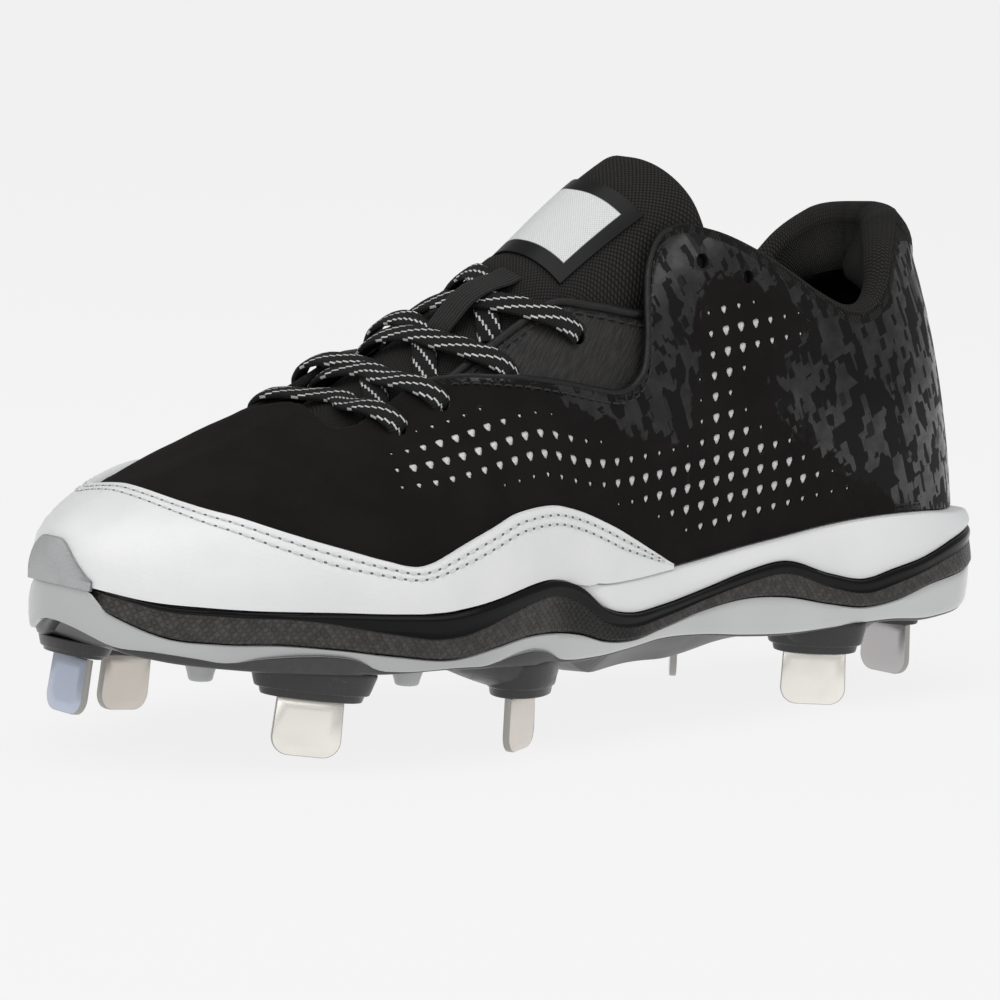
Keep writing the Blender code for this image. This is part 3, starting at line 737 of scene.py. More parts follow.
def nubuck():
    """Matt black synthetic nubuck, under gloss film in blocks where the chart's third value is above zero."""
    look = Look("black_nubuck", (0.009, 0.0076, 0.0072), 0.85, Specular_IOR_Level=0.1, Coat_Roughness=0.13)
    along, up, inside = look.chart_parts()
    inner_side = look.math("LESS_THAN", look.place_parts()[1], 0.0)
    print_along = look.plus(along, look.times(inner_side, PRINT_SHIFT[0]))
    print_up = look.plus(up, look.times(inner_side, PRINT_SHIFT[1]))
    large_place = look.turned(print_along, print_up, (0.24, 0.15), PRINT_TURN)
    small_place = look.turned(print_along, print_up, (0.5, 0.34), PRINT_TURN)
    large_tones = look.tones(look.cells(large_place, 1.0, 0.95, "CHEBYCHEV"))
    small_tones = look.tones(look.cells(small_place, 1.0, 0.6, "CHEBYCHEV"))
    film = look.ramp(look.plus(inside, look.times(look.minus(small_tones[0], 0.5), PRINT_RAGGED)), -0.5, 0.5)
    large_gloss = look.ramp(large_tones[0], 0.36, 0.40)
    small_gloss = look.ramp(small_tones[1], 0.14, 0.18)
    wear = look.ramp(look.noise(260, 3.0, 0.6), 0.3, 0.7, 0.55, 1.0)
    gloss = look.times(look.times(large_gloss, small_gloss), wear)
    film_gloss = look.times(film, look.plus(look.times(gloss, 0.85), 0.12))
    film_colour = look.mix(gloss, (0.0062, 0.0059, 0.0058), (0.0135, 0.0130, 0.0128))
    fine = look.noise(3200, 3.0, 0.6)
    cloud = look.noise(60, 3.0, 0.55)
    nap = look.tint(cloud, 0.3, 0.7, (0.0075, 0.0062, 0.0058), (0.0105, 0.0089, 0.0084))
    look.set("Base Color", look.mix(film, nap, film_colour))
    look.set("Coat Weight", film_gloss)
    look.rough(fine, 0.2, 0.8, 0.75, 0.95)
    grain = look.times(fine, look.minus(1.0, look.times(film, 0.85)))
    look.bump((grain, 0.10), (look.times(film, gloss), 0.06))
    return look.material


def white_leather():
    look = Look("white_leather", (0.80, 0.805, 0.81), 0.42)
    pebbles = look.cells(look.place(), 1500, 1.0)
    cloud = look.noise(45, 3.0, 0.5)
    look.colour(cloud, 0.3, 0.75, (0.77, 0.775, 0.78), (0.83, 0.832, 0.83))
    look.rough(cloud, 0.2, 0.8, 0.36, 0.5)
    look.bump((pebbles.outputs["Distance"], 0.045), (look.noise(240, 3.0, 0.5), 0.12))
    return look.material


def foam():
    look = Look("white_foam", (0.78, 0.785, 0.79), 0.5)
    cloud = look.noise(30)
    look.colour(cloud, 0.3, 0.7, (0.755, 0.762, 0.77), (0.81, 0.812, 0.815))
    look.bump((look.noise(1600, 3.0, 0.6), 0.05), (look.noise(120), 0.10))
    return look.material


def rubber():
    """Grey rubber with a fine raised lattice."""
    look = Look("grey_rubber", (0.40, 0.405, 0.41), 0.55)
    lattice = knit_height(look, 1.1, 1.1)
    cloud = look.noise(80, 3.0, 0.5)
    look.colour(cloud, 0.3, 0.7, (0.36, 0.365, 0.37), (0.43, 0.435, 0.44))
    look.bump((lattice, 0.14), (look.noise(900), 0.03))
    return look.material


def mesh_cloth(name, pitch_along, pitch_across, depth):
    """Black padded mesh: small knitted rhombs with a dark hole between them."""
    look = Look(name, (0.012, 0.011, 0.0105), 0.8, Specular_IOR_Level=0.15)
    knit = knit_height(look, pitch_along, pitch_across)
    yarn = look.noise(2600, 3.0, 0.6)
    look.colour(knit, 0.15, 0.75, (0.008, 0.0075, 0.0072), (0.031, 0.029, 0.0275))
    look.rough(yarn, 0.2, 0.8, 0.66, 0.88)
    look.bump((knit, depth), (yarn, 0.06))
    return look.material


STROKE_TURN = 48      # degrees


def brushed_leather():
    """Black leather with short brushed strokes along it."""
    look = Look("brushed_leather", (0.020, 0.018, 0.017), 0.5, Specular_IOR_Level=0.3)
    along, up, _ = look.chart_parts()
    strokes = look.noise(1.0, 3.0, 0.65, look.turned(along, up, (0.16, 2.2), STROKE_TURN))
    fine = look.noise(1.0, 2.0, 0.5, look.turned(along, up, (0.4, 5.0), STROKE_TURN))
    look.colour(strokes, 0.32, 0.75, (0.007, 0.0063, 0.006), (0.034, 0.0315, 0.030))
    look.rough(fine, 0.25, 0.75, 0.40, 0.62)
    look.bump((strokes, 0.22), (fine, 0.10))
    return look.material


def edge_binding():
    look = Look("edge_binding", (0.006, 0.0056, 0.0054), 0.38, Specular_IOR_Level=0.3)
    look.rough(look.noise(500, 3.0, 0.6), 0.25, 0.75, 0.28, 0.5)
    look.bump((look.noise(1800, 3.0, 0.6), 0.10))
    return look.material


def thread(name, colour, roughness):
    look = Look(name, colour, roughness)
    along, _, _ = look.chart_parts()
    twist = look.sine(look.times(along, 14.0))
    look.bump((twist, 0.05), (look.noise(4000), 0.04))
    return look.material


def hole_floor():
    """Pale backing cloth that the perforations show."""
    look = Look("pale_backing", (0.60, 0.605, 0.60), 0.6)
    weave = look.noise(2200)
    look.colour(weave, 0.3, 0.7, (0.50, 0.505, 0.50), (0.70, 0.705, 0.70))
    look.bump((weave, 0.12))
    return look.material


# Near-black floor of the punched eyelets: painted shade inside the holes
def painted_hole_shade():
    look = Look("painted_hole_shade", (0.004, 0.004, 0.004), 0.9)
    look.bump((look.noise(2000), 0.05))
    return look.material


# Pale flecks of the lace, in rows along it that step to one edge
FLECK_ROW = 0.64      # between rows
FLECK_STEP = 1.6      # along the lace from row to row
FLECK_CYCLE = 8.3     # from fleck to fleck in a row
FLECK_LENGTH = 1.75
FLECK_HALF = 0.36     # half its width, as a part of the row


def lace_weave():
    """Black woven lace with short pale flecks in staggered rows, stepping along the weave."""
    look = Look("lace_weave", (0.014, 0.0135, 0.013), 0.75, Specular_IOR_Level=0.2)
    along, across, out = look.chart_parts()
    rows = look.over(across, FLECK_ROW)
    row = look.math("ROUND", rows)
    shifted = look.plus(along, look.times(row, FLECK_STEP))
    cycle = look.math("FRACT", look.over(shifted, FLECK_CYCLE))
    dash = look.math("LESS_THAN", cycle, FLECK_LENGTH / FLECK_CYCLE)
    centre = look.math("LESS_THAN", look.absolute(look.minus(rows, row)), FLECK_HALF)
    face = look.math("GREATER_THAN", out, -0.2)
    fleck = look.times(look.times(dash, centre), face)
    strands = look.sine(look.times(look.plus(along, look.absolute(across)), 9.0))
    ribs = look.sine(look.times(across, 10.0))
    weave = look.times(strands, ribs)
    dark = look.tint(weave, -0.8, 0.8, (0.007, 0.0066, 0.0064), (0.022, 0.021, 0.0205))
    look.set("Base Color", look.mix(fleck, dark, (0.72, 0.73, 0.72)))
    look.bump((weave, 0.14))
    return look.material


def frame_gloss():
    """Gloss black lip, and below it a dark grey band of small scales."""
    look = Look("frame_black", (0.010, 0.010, 0.0105), 0.16, Specular_IOR_Level=0.12)
    along, up, rise = look.chart_parts()
    scale_place = look.turned(along, up, (0.62, 0.85), 38)
    scales = look.cells(scale_place, 1.0, 0.25)
    gap = look.cells(scale_place, 1.0, 0.25)
    gap.feature = "DISTANCE_TO_EDGE"
    ragged = look.plus(rise, look.times(look.minus(look.noise(90), 0.5), 0.06))
    band = look.ramp(ragged, 0.03, -0.03)
    tone = look.tones(scales)[0]
    scaled = look.tint(tone, 0.1, 0.9, (0.052, 0.049, 0.047), (0.073, 0.069, 0.066))
    x = look.place_parts()[0]
    shade = look.times(look.ramp(x, -0.012, 0.004), look.ramp(x, 0.036, 0.022))
    scaled = look.mix(look.times(shade, 0.8), scaled, (0.012, 0.0115, 0.011))
    look.set("Base Color", look.mix(band, (0.006, 0.006, 0.0062), scaled))
    look.rough(band, 0.0, 1.0, 0.13, 0.34)
    crest = look.times(look.ramp(gap.outputs["Distance"], 0.0, 0.22), band)
    look.bump((crest, 0.30), (look.noise(160), 0.05))
    return look.material


def pale_gloss():
    """Pale grey gloss plate, and its dark lower layer where the chart's third value is below zero."""
    look = Look("pale_gloss", (0.56, 0.575, 0.58), 0.17)
    _, _, under = look.chart_parts()
    cloud = look.noise(25)
    front = look.ramp(look.place_parts()[0], -0.05, 0.09)
    rear_tone = look.tint(cloud, 0.3, 0.7, (0.52, 0.53, 0.53), (0.58, 0.59, 0.59))
    front_tone = look.tint(cloud, 0.3, 0.7, (0.40, 0.405, 0.405), (0.46, 0.465, 0.465))
    pale = look.mix(front, rear_tone, front_tone)
    dark = look.mix(look.noise(700, 3.0, 0.6), (0.026, 0.025, 0.025), (0.050, 0.048, 0.047))
    below = look.ramp(under, 0.12, -0.12)
    look.set("Base Color", look.mix(below, pale, dark))
    look.rough(below, 0.0, 1.0, 0.15, 0.34)
    look.bump((look.noise(180), 0.05), (look.noise(2400), 0.015))
    return look.material


def dark_plastic():
    """Dark grey moulded plastic with a fine pale speckle."""
    look = Look("dark_plastic", (0.045, 0.045, 0.047), 0.3)
    speck = look.ramp(look.noise(1500, 2.0, 0.7), 0.66, 0.74)
    look.set("Base Color", look.mix(speck, (0.021, 0.0205, 0.0205), (0.10, 0.10, 0.105)))
    look.rough(look.noise(300, 3.0, 0.6), 0.25, 0.75, 0.22, 0.42)
    look.bump((look.noise(900), 0.03))
    return look.material


def steel(name, tint):
    """Rolled steel whose tint is a painted reflection: fine lines along the blade, a faint stain, and a darker
    rim that is painted shade on its bevel.
    """
    look = Look(name, tint, 0.24, 0.65)
    along, up, rim = look.chart_parts()
    lines = look.noise(1.0, 2.0, 0.5, look.turned(along, up, (0.12, 3.0)))
    stain = look.ramp(look.noise(90), 0.4, 0.8)
    face = look.mix(look.times(stain, 0.25), tint, (0.55, 0.52, 0.48))
    # Darker rim: painted shade on the blade's bevel
    look.colour(rim, 0.2, 0.8, face, (0.36, 0.35, 0.33))
    look.rough(lines, 0.25, 0.75, 0.20, 0.27)
    look.bump((lines, 0.0012), (look.noise(60, 1.0, 0.4), 0.02))
    return look.material


def webbing():
    """Black ribbed webbing: fine ribs along it, crossed by its weft."""
    look = Look("webbing", (0.012, 0.0115, 0.011), 0.6, Specular_IOR_Level=0.3)
    along, across, _ = look.chart_parts()
    ribs = look.absolute(look.sine(look.times(across, 3.4)))
    weft = look.sine(look.times(along, 11.0))
    look.colour(ribs, 0.1, 0.8, (0.004, 0.004, 0.004), (0.022, 0.021, 0.020))
    look.bump((ribs, 0.35), (weft, 0.05))
    return look.material


def label_cloth():
    """Blank label: a pale woven field in a dark gloss border."""
    look = Look("label_cloth", (0.72, 0.73, 0.73), 0.5, Specular_IOR_Level=0.15)
    across, up, _ = look.chart_parts()
    side = look.minus(look.absolute(across), LABEL_HALF - LABEL_SIDE)
    from_middle = look.absolute(look.minus(up, LABEL_TALL / 2))
    end = look.minus(from_middle, LABEL_TALL / 2 - LABEL_END)
    border = look.ramp(look.math("MAXIMUM", side, end), -0.15, 0.15)
    knit = knit_height(look, 0.7, 0.7)
    pale = look.tint(knit, 0.1, 0.8, (0.60, 0.61, 0.61), (0.76, 0.77, 0.77))
    look.set("Base Color", look.mix(border, pale, (0.009, 0.009, 0.0095)))
    look.rough(border, 0.0, 1.0, 0.55, 0.28)
    look.bump((look.times(knit, look.minus(1.0, border)), 0.06), (border, 0.3))
    return look.material


def floor_look():
    """Pale floor that is evenly bright, with only a faint shadow on it."""
    look = Look("pale_floor", (0.10, 0.10, 0.10), 0.8, Specular_IOR_Level=0.0)
    look.set("Base Color", look.mix(look.noise(3.0), (0.07, 0.07, 0.07), (0.08, 0.08, 0.08)))
    look.set("Emission Color", (1.0, 1.0, 1.0))
    look.set("Emission Strength", 0.845)
    return look.material


def all_looks():
    return {
        "nubuck": nubuck(),
        "floor_of_hole": hole_floor(),
        # The dark look is the eyelets' floor, near-black as painted shade
        "dark": painted_hole_shade(),
        "lining": mesh_cloth("collar_mesh", 1.0, 1.3, 0.20),
        "tongue": mesh_cloth("tongue_mesh", 0.95, 1.25, 0.18),
        "insole": mesh_cloth("insole_cloth", 1.2, 1.2, 0.12),
        "white": white_leather(),
        "foam": foam(),
        "rubber": rubber(),
        "brushed": brushed_leather(),
        "binding": edge_binding(),
        "white_thread": thread("white_thread", (0.70, 0.71, 0.71), 0.6),
        "black_thread": thread("black_thread", (0.010, 0.0095, 0.009), 0.6),
        # Grey of the needle holes: painted shade
        "needle_hole_shade": thread("needle_hole_shade", (0.14, 0.14, 0.14), 0.9),
        "lace": lace_weave(),
        "frame": frame_gloss(),
        "plate": pale_gloss(),
        "cleat": dark_plastic(),
        # One steel in four tints, each a painted reflection of the surroundings, the blue one of the sky
        "steel_painted_blue_reflection": steel("steel_painted_blue_reflection", (0.50, 0.55, 0.67)),
        "steel_painted_grey_reflection": steel("steel_painted_grey_reflection", (0.55, 0.53, 0.54)),
        "steel_painted_warm_reflection": steel("steel_painted_warm_reflection", (0.72, 0.67, 0.61)),
        "steel_painted_bright_reflection": steel("steel_painted_bright_reflection", (0.95, 0.93, 0.86)),
        "label": label_cloth(),
        "webbing": webbing(),
    }


# Upper

def crease_depth(x, arc):
    """Depth of the soft troughs on the skin."""
    depth = np.zeros(np.shape(x))
    for middle_x, middle_arc, reach_x, reach_arc, deep in CREASES:
        depth += deep * np.exp(-(((x - middle_x) / reach_x) ** 2) - ((arc - middle_arc) / reach_arc) ** 2)
    return depth


def skin_at(flat, depth=0.0):
    """Points of the upper's skin from its flat chart: way round and distance up the rib."""
    s = flat[:, 0] / PERIMETER
    arc = flat[:, 1]
    x = outline(s)[:, 0]
    relief = heel_roll(x, arc_at(s, edge_cover(s)) - arc) - crease_depth(x, arc)
    return skin(s, part_at(s, arc), relief - depth)


def perforations():
    """Outlines of the small holes in both quarters, larger in the middle of their field."""
    field = np.array(PERF_FIELD, float)
    low = np.floor((field.min(axis=0) - PERF_START) / PERF_PITCH).astype(int)
    high = np.ceil((field.max(axis=0) - PERF_START) / PERF_PITCH).astype(int)
    rows, columns = np.meshgrid(np.arange(low[1], high[1] + 1), np.arange(low[0], high[0] + 1))
    spots = np.stack([columns.ravel(), rows.ravel()], -1) * PERF_PITCH + PERF_START
    inside = distance_inside(spots, field)
    holes = []
    for side in (1, -1):
        for (x, arc), deep in zip(spots, inside):
            if deep < PERF_MARGIN:
                continue
            growth = smooth_step(0, PERF_FADE, deep)
            radius = PERF_RADIUS * (PERF_LEAST + (1 - PERF_LEAST) * growth)
            middle = (float(side_s(x, side)) * PERIMETER, arc)
            holes.append(hole_outline(middle, float(radius), 12, 0.16))
    return holes


def punched(eyelets):
    holes = []
    for x, part, radius in eyelets:
        for side in (1, -1):
            s = side_s(x, side)
            holes.append(hole_outline((float(s) * PERIMETER, float(arc_at(s, part))), radius, 16, 0.0))
    return holes


def sink_hole(shape, hole, to_space, depth, crown, kinds):
    """Walls of a hole and the floor at its bottom, domed by the crown: pale cloth in the perforations, painted
    shade in the eyelets.
    """
    count = len(hole)
    middle = hole.mean(axis=0)
    rim = to_space(hole, 0.0)
    shoulder = to_space(middle + (hole - middle) * 0.97, 0.12)
    foot = to_space(middle + (hole - middle) * 0.95, depth)
    dome = to_space(middle + (hole - middle) * 0.5, depth - 0.75 * crown)
    top = to_space(middle[None], depth - crown)
    shape.grid([rim, shoulder, foot], kinds[0], closed=True)
    shape.grid([foot, dome], kinds[1], closed=True)
    fan = [(i, (i + 1) % count, count) for i in range(count)]
    shape.add(np.concatenate([dome, top]), fan, kinds[1])


HEEL_BULGE = 10.5     # of the padding inside the heel
EDGE_MESH = 2.0       # width of the mesh that shows outside along the collar's edge
HEEL_MESH = 8.0       # and how much wider it is at the back of the heel
HEEL_ROLL = 1.3       # how far that mesh swells out
LEAST_MESH = 0.3      # where the mesh is narrower than this, it isn't cut from the skin
# Room that the lattice leaves: round holes, along the mesh, and below the edge as a part of its step
HOLE_ROOM = 0.45
MESH_ROOM = 0.5
EDGE_ROOM = 0.7


def edge_mesh(x):
    """Width of the mesh outside, along the collar's edge."""
    return EDGE_MESH * (1 - smooth_step(-24, -16, x)) + HEEL_MESH * (1 - smooth_step(-137, -116, x))


def heel_roll(x, below):
    """Swelling of the skin this far below the collar's edge."""
    inside = np.clip(below / (EDGE_MESH + HEEL_MESH + 2), 0, 1)
    return HEEL_ROLL * (1 - smooth_step(-134, -112, x)) * np.sin(math.pi * inside)


def collar_rows(s, cover):
    """Rolled edge of collar and throat, and the lining down to the foot, as rows round the shoe."""
    x = outline(s)[:, 0]
    pad = COLLAR_PAD * (1 - smooth_step(-62, -38, x))
    heel = 1 - smooth_step(-128, -100, x)

    def thick(share):
        bulge = HEEL_BULGE * heel * math.exp(-(((share - 0.85) / 0.12) ** 2))
        return WALL + pad * smooth_step(0.45, 0.95, share) + bulge

    lip = thick(1.0)
    edge_up = last_form(s, cover) - last_form(s, cover - 0.03)
    edge_up /= np.linalg.norm(edge_up, axis=1, keepdims=True)
    rows = []
    for angle in np.radians(np.arange(0, 181, 15)):
        depth = lip * (1 - math.cos(angle)) / 2
        rise = (0.4 - 0.12 * heel) * lip * math.sin(angle)
        rows.append(skin(s, cover, -depth) + edge_up * rise[:, None])
    for share in np.linspace(1, 0, 26)[1:]:
        rows.append(skin(s, cover * share, -thick(share)))
    rows[-1][:, 2] = last_form(s, 0.0)[:, 2]
    return rows


def add_upper(looks):
    """The hollow upper: perforated skin, rolled collar and lining in one closed mesh."""
    s = np.arange(EDGE_STEPS + 1) / EDGE_STEPS
    cover = edge_cover(s)
    top = arc_at(s, cover)
    way = s * PERIMETER
    seam = np.arange(SKIN_STEP, top[0] - SKIN_STEP / 2, SKIN_STEP)
    border = np.concatenate([
        np.stack([way, np.zeros(len(s))], -1),
        np.stack([np.full(len(seam), PERIMETER), seam], -1),
        np.stack([way, top], -1)[::-1],
        np.stack([np.zeros(len(seam)), seam], -1)[::-1],
    ])
    small = perforations()
    eyelets = punched(TOP_EYELETS) + punched(VAMP_EYELETS)
    holes = small + eyelets
    ups = np.arange(SKIN_STEP, top.max(), SKIN_STEP)
    rounds = np.arange(SKIN_STEP, PERIMETER - SKIN_STEP / 2, SKIN_STEP)
    across, up = np.meshgrid(rounds, ups)
    across = across + (np.round(up / SKIN_STEP) % 2) * SKIN_STEP / 2 - SKIN_STEP / 4
    lattice = np.stack([across.ravel(), up.ravel()], -1)
    lattice = lattice[lattice[:, 1] < np.interp(lattice[:, 0], way, top) - EDGE_ROOM * SKIN_STEP]
    lattice = clear_lattice(lattice, holes, HOLE_ROOM)
    mesh_width = edge_mesh(outline(s)[:, 0])
    parting = top - np.maximum(mesh_width, 0.02)
    lattice = lattice[np.abs(lattice[:, 1] - np.interp(lattice[:, 0], way, parting)) > MESH_ROOM]
    without_mesh = np.flatnonzero(mesh_width <= LEAST_MESH)
    flat = np.stack([way, parting], -1)
    flat[0, 0] += 0.01
    flat[-1, 0] -= 0.01
    lines = (flat[:without_mesh[0]], flat[without_mesh[-1] + 1:])
    flat, faces = triangulate(border, holes, lattice, lines)
    shape = Shape()
    flat_s = flat[:, 0] / PERIMETER
    inside = distance_inside(np.stack([outline(flat_s)[:, 0], flat[:, 1]], -1), FILM)
    points = skin_at(flat)
    on_edge = np.abs(flat[:, 1] - np.interp(flat[:, 0], way, top)) < ON_LINE
    points[on_edge] = last_form(flat_s[on_edge], edge_cover(flat_s[on_edge]))
    on_foot = flat[:, 1] < ON_LINE
    points[on_foot] = last_form(flat_s[on_foot], 0.0)
    chart = chart_of(flat_s, flat[:, 1], inside)
    middles = np.array([flat[list(face)].mean(axis=0) for face in faces])
    outside = middles[:, 1] < np.interp(middles[:, 0], way, parting)
    for kind, on_skin in ((0, True), (3, False)):
        kept = [face for face, skin_face in zip(faces, outside) if skin_face == on_skin]
        shape.add(points, kept, kind, chart)
    for hole in small:
        sink_hole(shape, hole, skin_at, PERF_DEPTH, PERF_CROWN, (0, 1))
    # The eyelets end in a near-black floor, painted shade inside the holes
    for hole in eyelets:
        sink_hole(shape, hole, skin_at, EYELET_DEPTH, 0.0, (0, 2))
    ring = s[:-1]
    rows = collar_rows(ring, edge_cover(ring))
    reach = np.concatenate([[0], np.cumsum(np.linalg.norm(np.diff(rows, axis=0), axis=2).mean(axis=1))])
    shape.grid(rows, 3, [chart_of(ring, distance) for distance in reach], closed=True)
    shape.grid([rows[-1], last_form(ring, 0.0)], 3, closed=True)
    kinds = [looks[name] for name in ("nubuck", "floor_of_hole", "dark", "lining")]
    place(shape.make("upper_shell", kinds), "black_synthetic", "upper")


def edge_path(side, first_x, last_x, below, depth, step=1.2):
    """Points and outward directions along the upper's edge, this far below it and this deep."""
    x = np.arange(first_x, last_x, step)
    s = side_s(x, side)
    part = part_at(s, arc_at(s, edge_cover(s)) - below)
    return skin(s, part, -depth), last_normal(s, part)


# Trim of the scoop's edge: binding's width and thickness, seam's distance below it, its pitch and thread
SCOOP_BINDING = (1.9, 2.2)
SCOOP_SEAM = 2.8
SCOOP_STITCH = (2.6, 0.55)
BINDING_STEP = 1.2
BINDING_SIDES = 10


def add_edge_trim(looks):
    """Rolled binding along the scoop's edge, and the stitches beside it."""
    rolls = Shape()
    seams = Shape()
    for side in (1, -1):
        path, up = edge_path(side, -27, 58, 0.0, 0.7)
        path, up = resample(path, BINDING_STEP, up)
        sweep(rolls, path, up, *SCOOP_BINDING, sides=BINDING_SIDES)
        path, up = edge_path(side, -24, 50, SCOOP_SEAM, -0.1)
        add_stitches(seams, path, up, *SCOOP_STITCH)
    place(rolls.make("scoop_binding", [looks["binding"]]), "black_leather")
    place(seams.make("scoop_stitches", [looks["black_thread"]]), "black_leather")


# Toe guard and bumper

GUARD_STEPS = 520
GUARD_TOP = GUARD_GAP + GUARD_SKIN
INNER_RISE = 0.19     # how much further up the rib the guard goes on the inner side of the toe
# Rounded edge of the guard: distance below its top line, height over the skin
GUARD_EDGE = ((-0.55, 0.15), (-0.5, 0.8), (-0.32, 1.4), (0.0, GUARD_TOP))
# Rows of its face under that edge: distance below the top line
GUARD_ROWS = (*np.arange(0.25, 6.0, 0.35), 7.0, 8.5, 10.5)
GUARD_TAPER = 12.0    # the rows draw together where the guard is lower than this
# Sewn furrows: distances below the top line, depth and reach of a furrow, pitch and thread of the stitches
STITCH_ROWS = (1.75, 3.9)
FURROW_DEPTH = 0.16
FURROW_REACH = 0.5
GUARD_PITCH = 3.0
GUARD_THREAD = 0.5


def inner_guard(s, x):
    """How much further up the guard goes on the inner side of the toe."""
    inner = np.mod(s, 1.0) > 0.5
    return np.where(inner, INNER_RISE * smooth_step(62, 98, x) * (1 - smooth_step(98, 138, x)), 0.0)


def guard_stations():
    """Places round the toe, how far up the rib the guard goes at each, and its lower edge's height."""
    s = np.linspace(side_s(GUARD_END, 1), side_s(GUARD_END, -1), GUARD_STEPS)
    x = outline(s)[:, 0]
    cover = column(GUARD_COLUMNS, GUARD, "cover", x) + inner_guard(s, x)
    return s, arc_at(s, cover), column(GUARD_COLUMNS, GUARD, "low", x)


def guard_surface(s, tall, below, height):
    """The guard's face this far below its top line, above it where negative, and this high over the skin."""
    return skin(s, part_at(s, np.maximum(tall - below, 0.0)), height)


def add_toe_guard(looks):
    """White guard round the toe, with a rounded edge and two sewn furrows along its top."""
    s, tall, low = guard_stations()
    taper = np.minimum(1, tall / GUARD_TAPER)
    rows = [guard_surface(s, tall, below * np.minimum(1, tall / 3.0), height) for below, height in GUARD_EDGE]
    for below in GUARD_ROWS:
        furrow = sum(FURROW_DEPTH * math.exp(-(((below - row) / FURROW_REACH) ** 2)) for row in STITCH_ROWS)
        rows.append(guard_surface(s, tall, below * taper, GUARD_TOP - furrow))
    last = GUARD_ROWS[-1] * taper
    for share in (0.25, 0.5, 0.75, 0.95):
        rows.append(guard_surface(s, tall, last + (tall - last) * share, GUARD_TOP))
    foot = skin(s, 0.0, GUARD_TOP)
    inner_foot = skin(s, 0.0, GUARD_GAP)
    hem = foot.copy()
    inner_hem = inner_foot.copy()
    hem[:, 2] = np.minimum(low, foot[:, 2] - 0.2)
    inner_hem[:, 2] = hem[:, 2]
    rows += [foot, hem, inner_hem, inner_foot]
    for share in (0.5, 0.2):
        rows.append(guard_surface(s, tall, tall * share, GUARD_GAP))
    rows.append(rows[0])
    shape = Shape()
    shape.grid(rows, 0, [chart_of(s, height) for height in range(len(rows))])
    cap_ends(shape, rows)
    place(shape.make("toe_guard_leather", [looks["white"]]), "white_synthetic", "toe_guard")
    add_guard_stitches(looks, s, tall)


def add_guard_stitches(looks, s, tall):
    """White stitches in the guard's furrows, with a grey dash between each two, painted shade of a needle
    hole.
    """
    seams = Shape()
    kept = slice(GUARD_STEPS // 90, -(GUARD_STEPS // 90))
    for below in STITCH_ROWS:
        path = guard_surface(s, tall, below * np.minimum(1, tall / GUARD_TAPER), GUARD_TOP - 0.12)[kept]
        up = last_normal(s, part_at(s, np.maximum(tall - below, 0)))[kept]
        add_stitches(seams, path, up, GUARD_PITCH, GUARD_THREAD, share=0.66)
        points, ups = resample(path, GUARD_PITCH, up)
        # Between each two stitches a short grey dash on the surface: painted shade of the needle hole
        for point, normal, ahead in zip(points[:-1], ups[:-1], points[1:]):
            way = (ahead - point) / np.linalg.norm(ahead - point)
            spot = ahead - way * 0.48
            line = spot + way * np.array([-0.34, 0.0, 0.34])[:, None] + normal * 0.05
            sweep(seams, line, np.tile(normal, (3, 1)), GUARD_THREAD, 0.22, sides=STITCH_SIDES, kind=1)
    place(seams.make("toe_guard_stitches", [looks["white_thread"], looks["needle_hole_shade"]]), "white_synthetic")


# Toe bumper: its ends round the outline, how far up the rib it goes, its thickness, its lap over the frame
BUMPER_FROM = 0.482
BUMPER_TO = 0.527
BUMPER_COVER = 0.162
BUMPER_THICK = 0.8
BUMPER_LAP = 0.9
# Its outer face from the top edge down: part of its cover, height over the guard
BUMPER_FACE = (
    (1.0, 0.0), (1.0, 0.45), (0.985, 0.7), (0.95, BUMPER_THICK), (0.75, BUMPER_THICK), (0.5, BUMPER_THICK),
    (0.25, BUMPER_THICK), (0.02, BUMPER_THICK),
)


def add_toe_bumper(looks):
    """Grey rubber crescent over the guard at the tip of the toe, its edge rounded."""
    share = np.linspace(0.03, 0.97, 81)
    s = BUMPER_FROM + (BUMPER_TO - BUMPER_FROM) * share
    cover = BUMPER_COVER * (1 - smooth_step(0.2, 1.02, np.abs(2 * share - 1)))
    inner = GUARD_TOP + 0.05
    rows = [skin(s, cover * part, inner + height) for part, height in BUMPER_FACE]
    for height in (BUMPER_THICK, 0.0):
        hem = skin(s, 0.0, inner + height)
        hem[:, 2] = sole_line("band_top", s) + GAP - BUMPER_LAP
        rows.append(hem)
    rows += [skin(s, cover * part, inner) for part in (0.3, 0.7, 1.0)]
    shape = Shape()
    shape.grid(rows, 0, [chart_of(s, arc) for arc in np.cumsum(np.full(len(rows), 1.4))])
    cap_ends(shape, rows)
    place(shape.make("toe_bumper_rubber", [looks["rubber"]]), "grey_rubber", "toe_bumper")


# Tongue, lace wings and lace

# Tongue: ends of its middle on the spine, how much further its corners go, depth under the last, top's swell
TONGUE_FOOT = 62.0
TONGUE_END = -30.5
TONGUE_CORNERS = 13.2
TONGUE_DEPTH = 5.3
TONGUE_SWELL = 5.0
TONGUE_TUCK = 0.10    # how far its sides go further down behind the wings, as a part of the rib


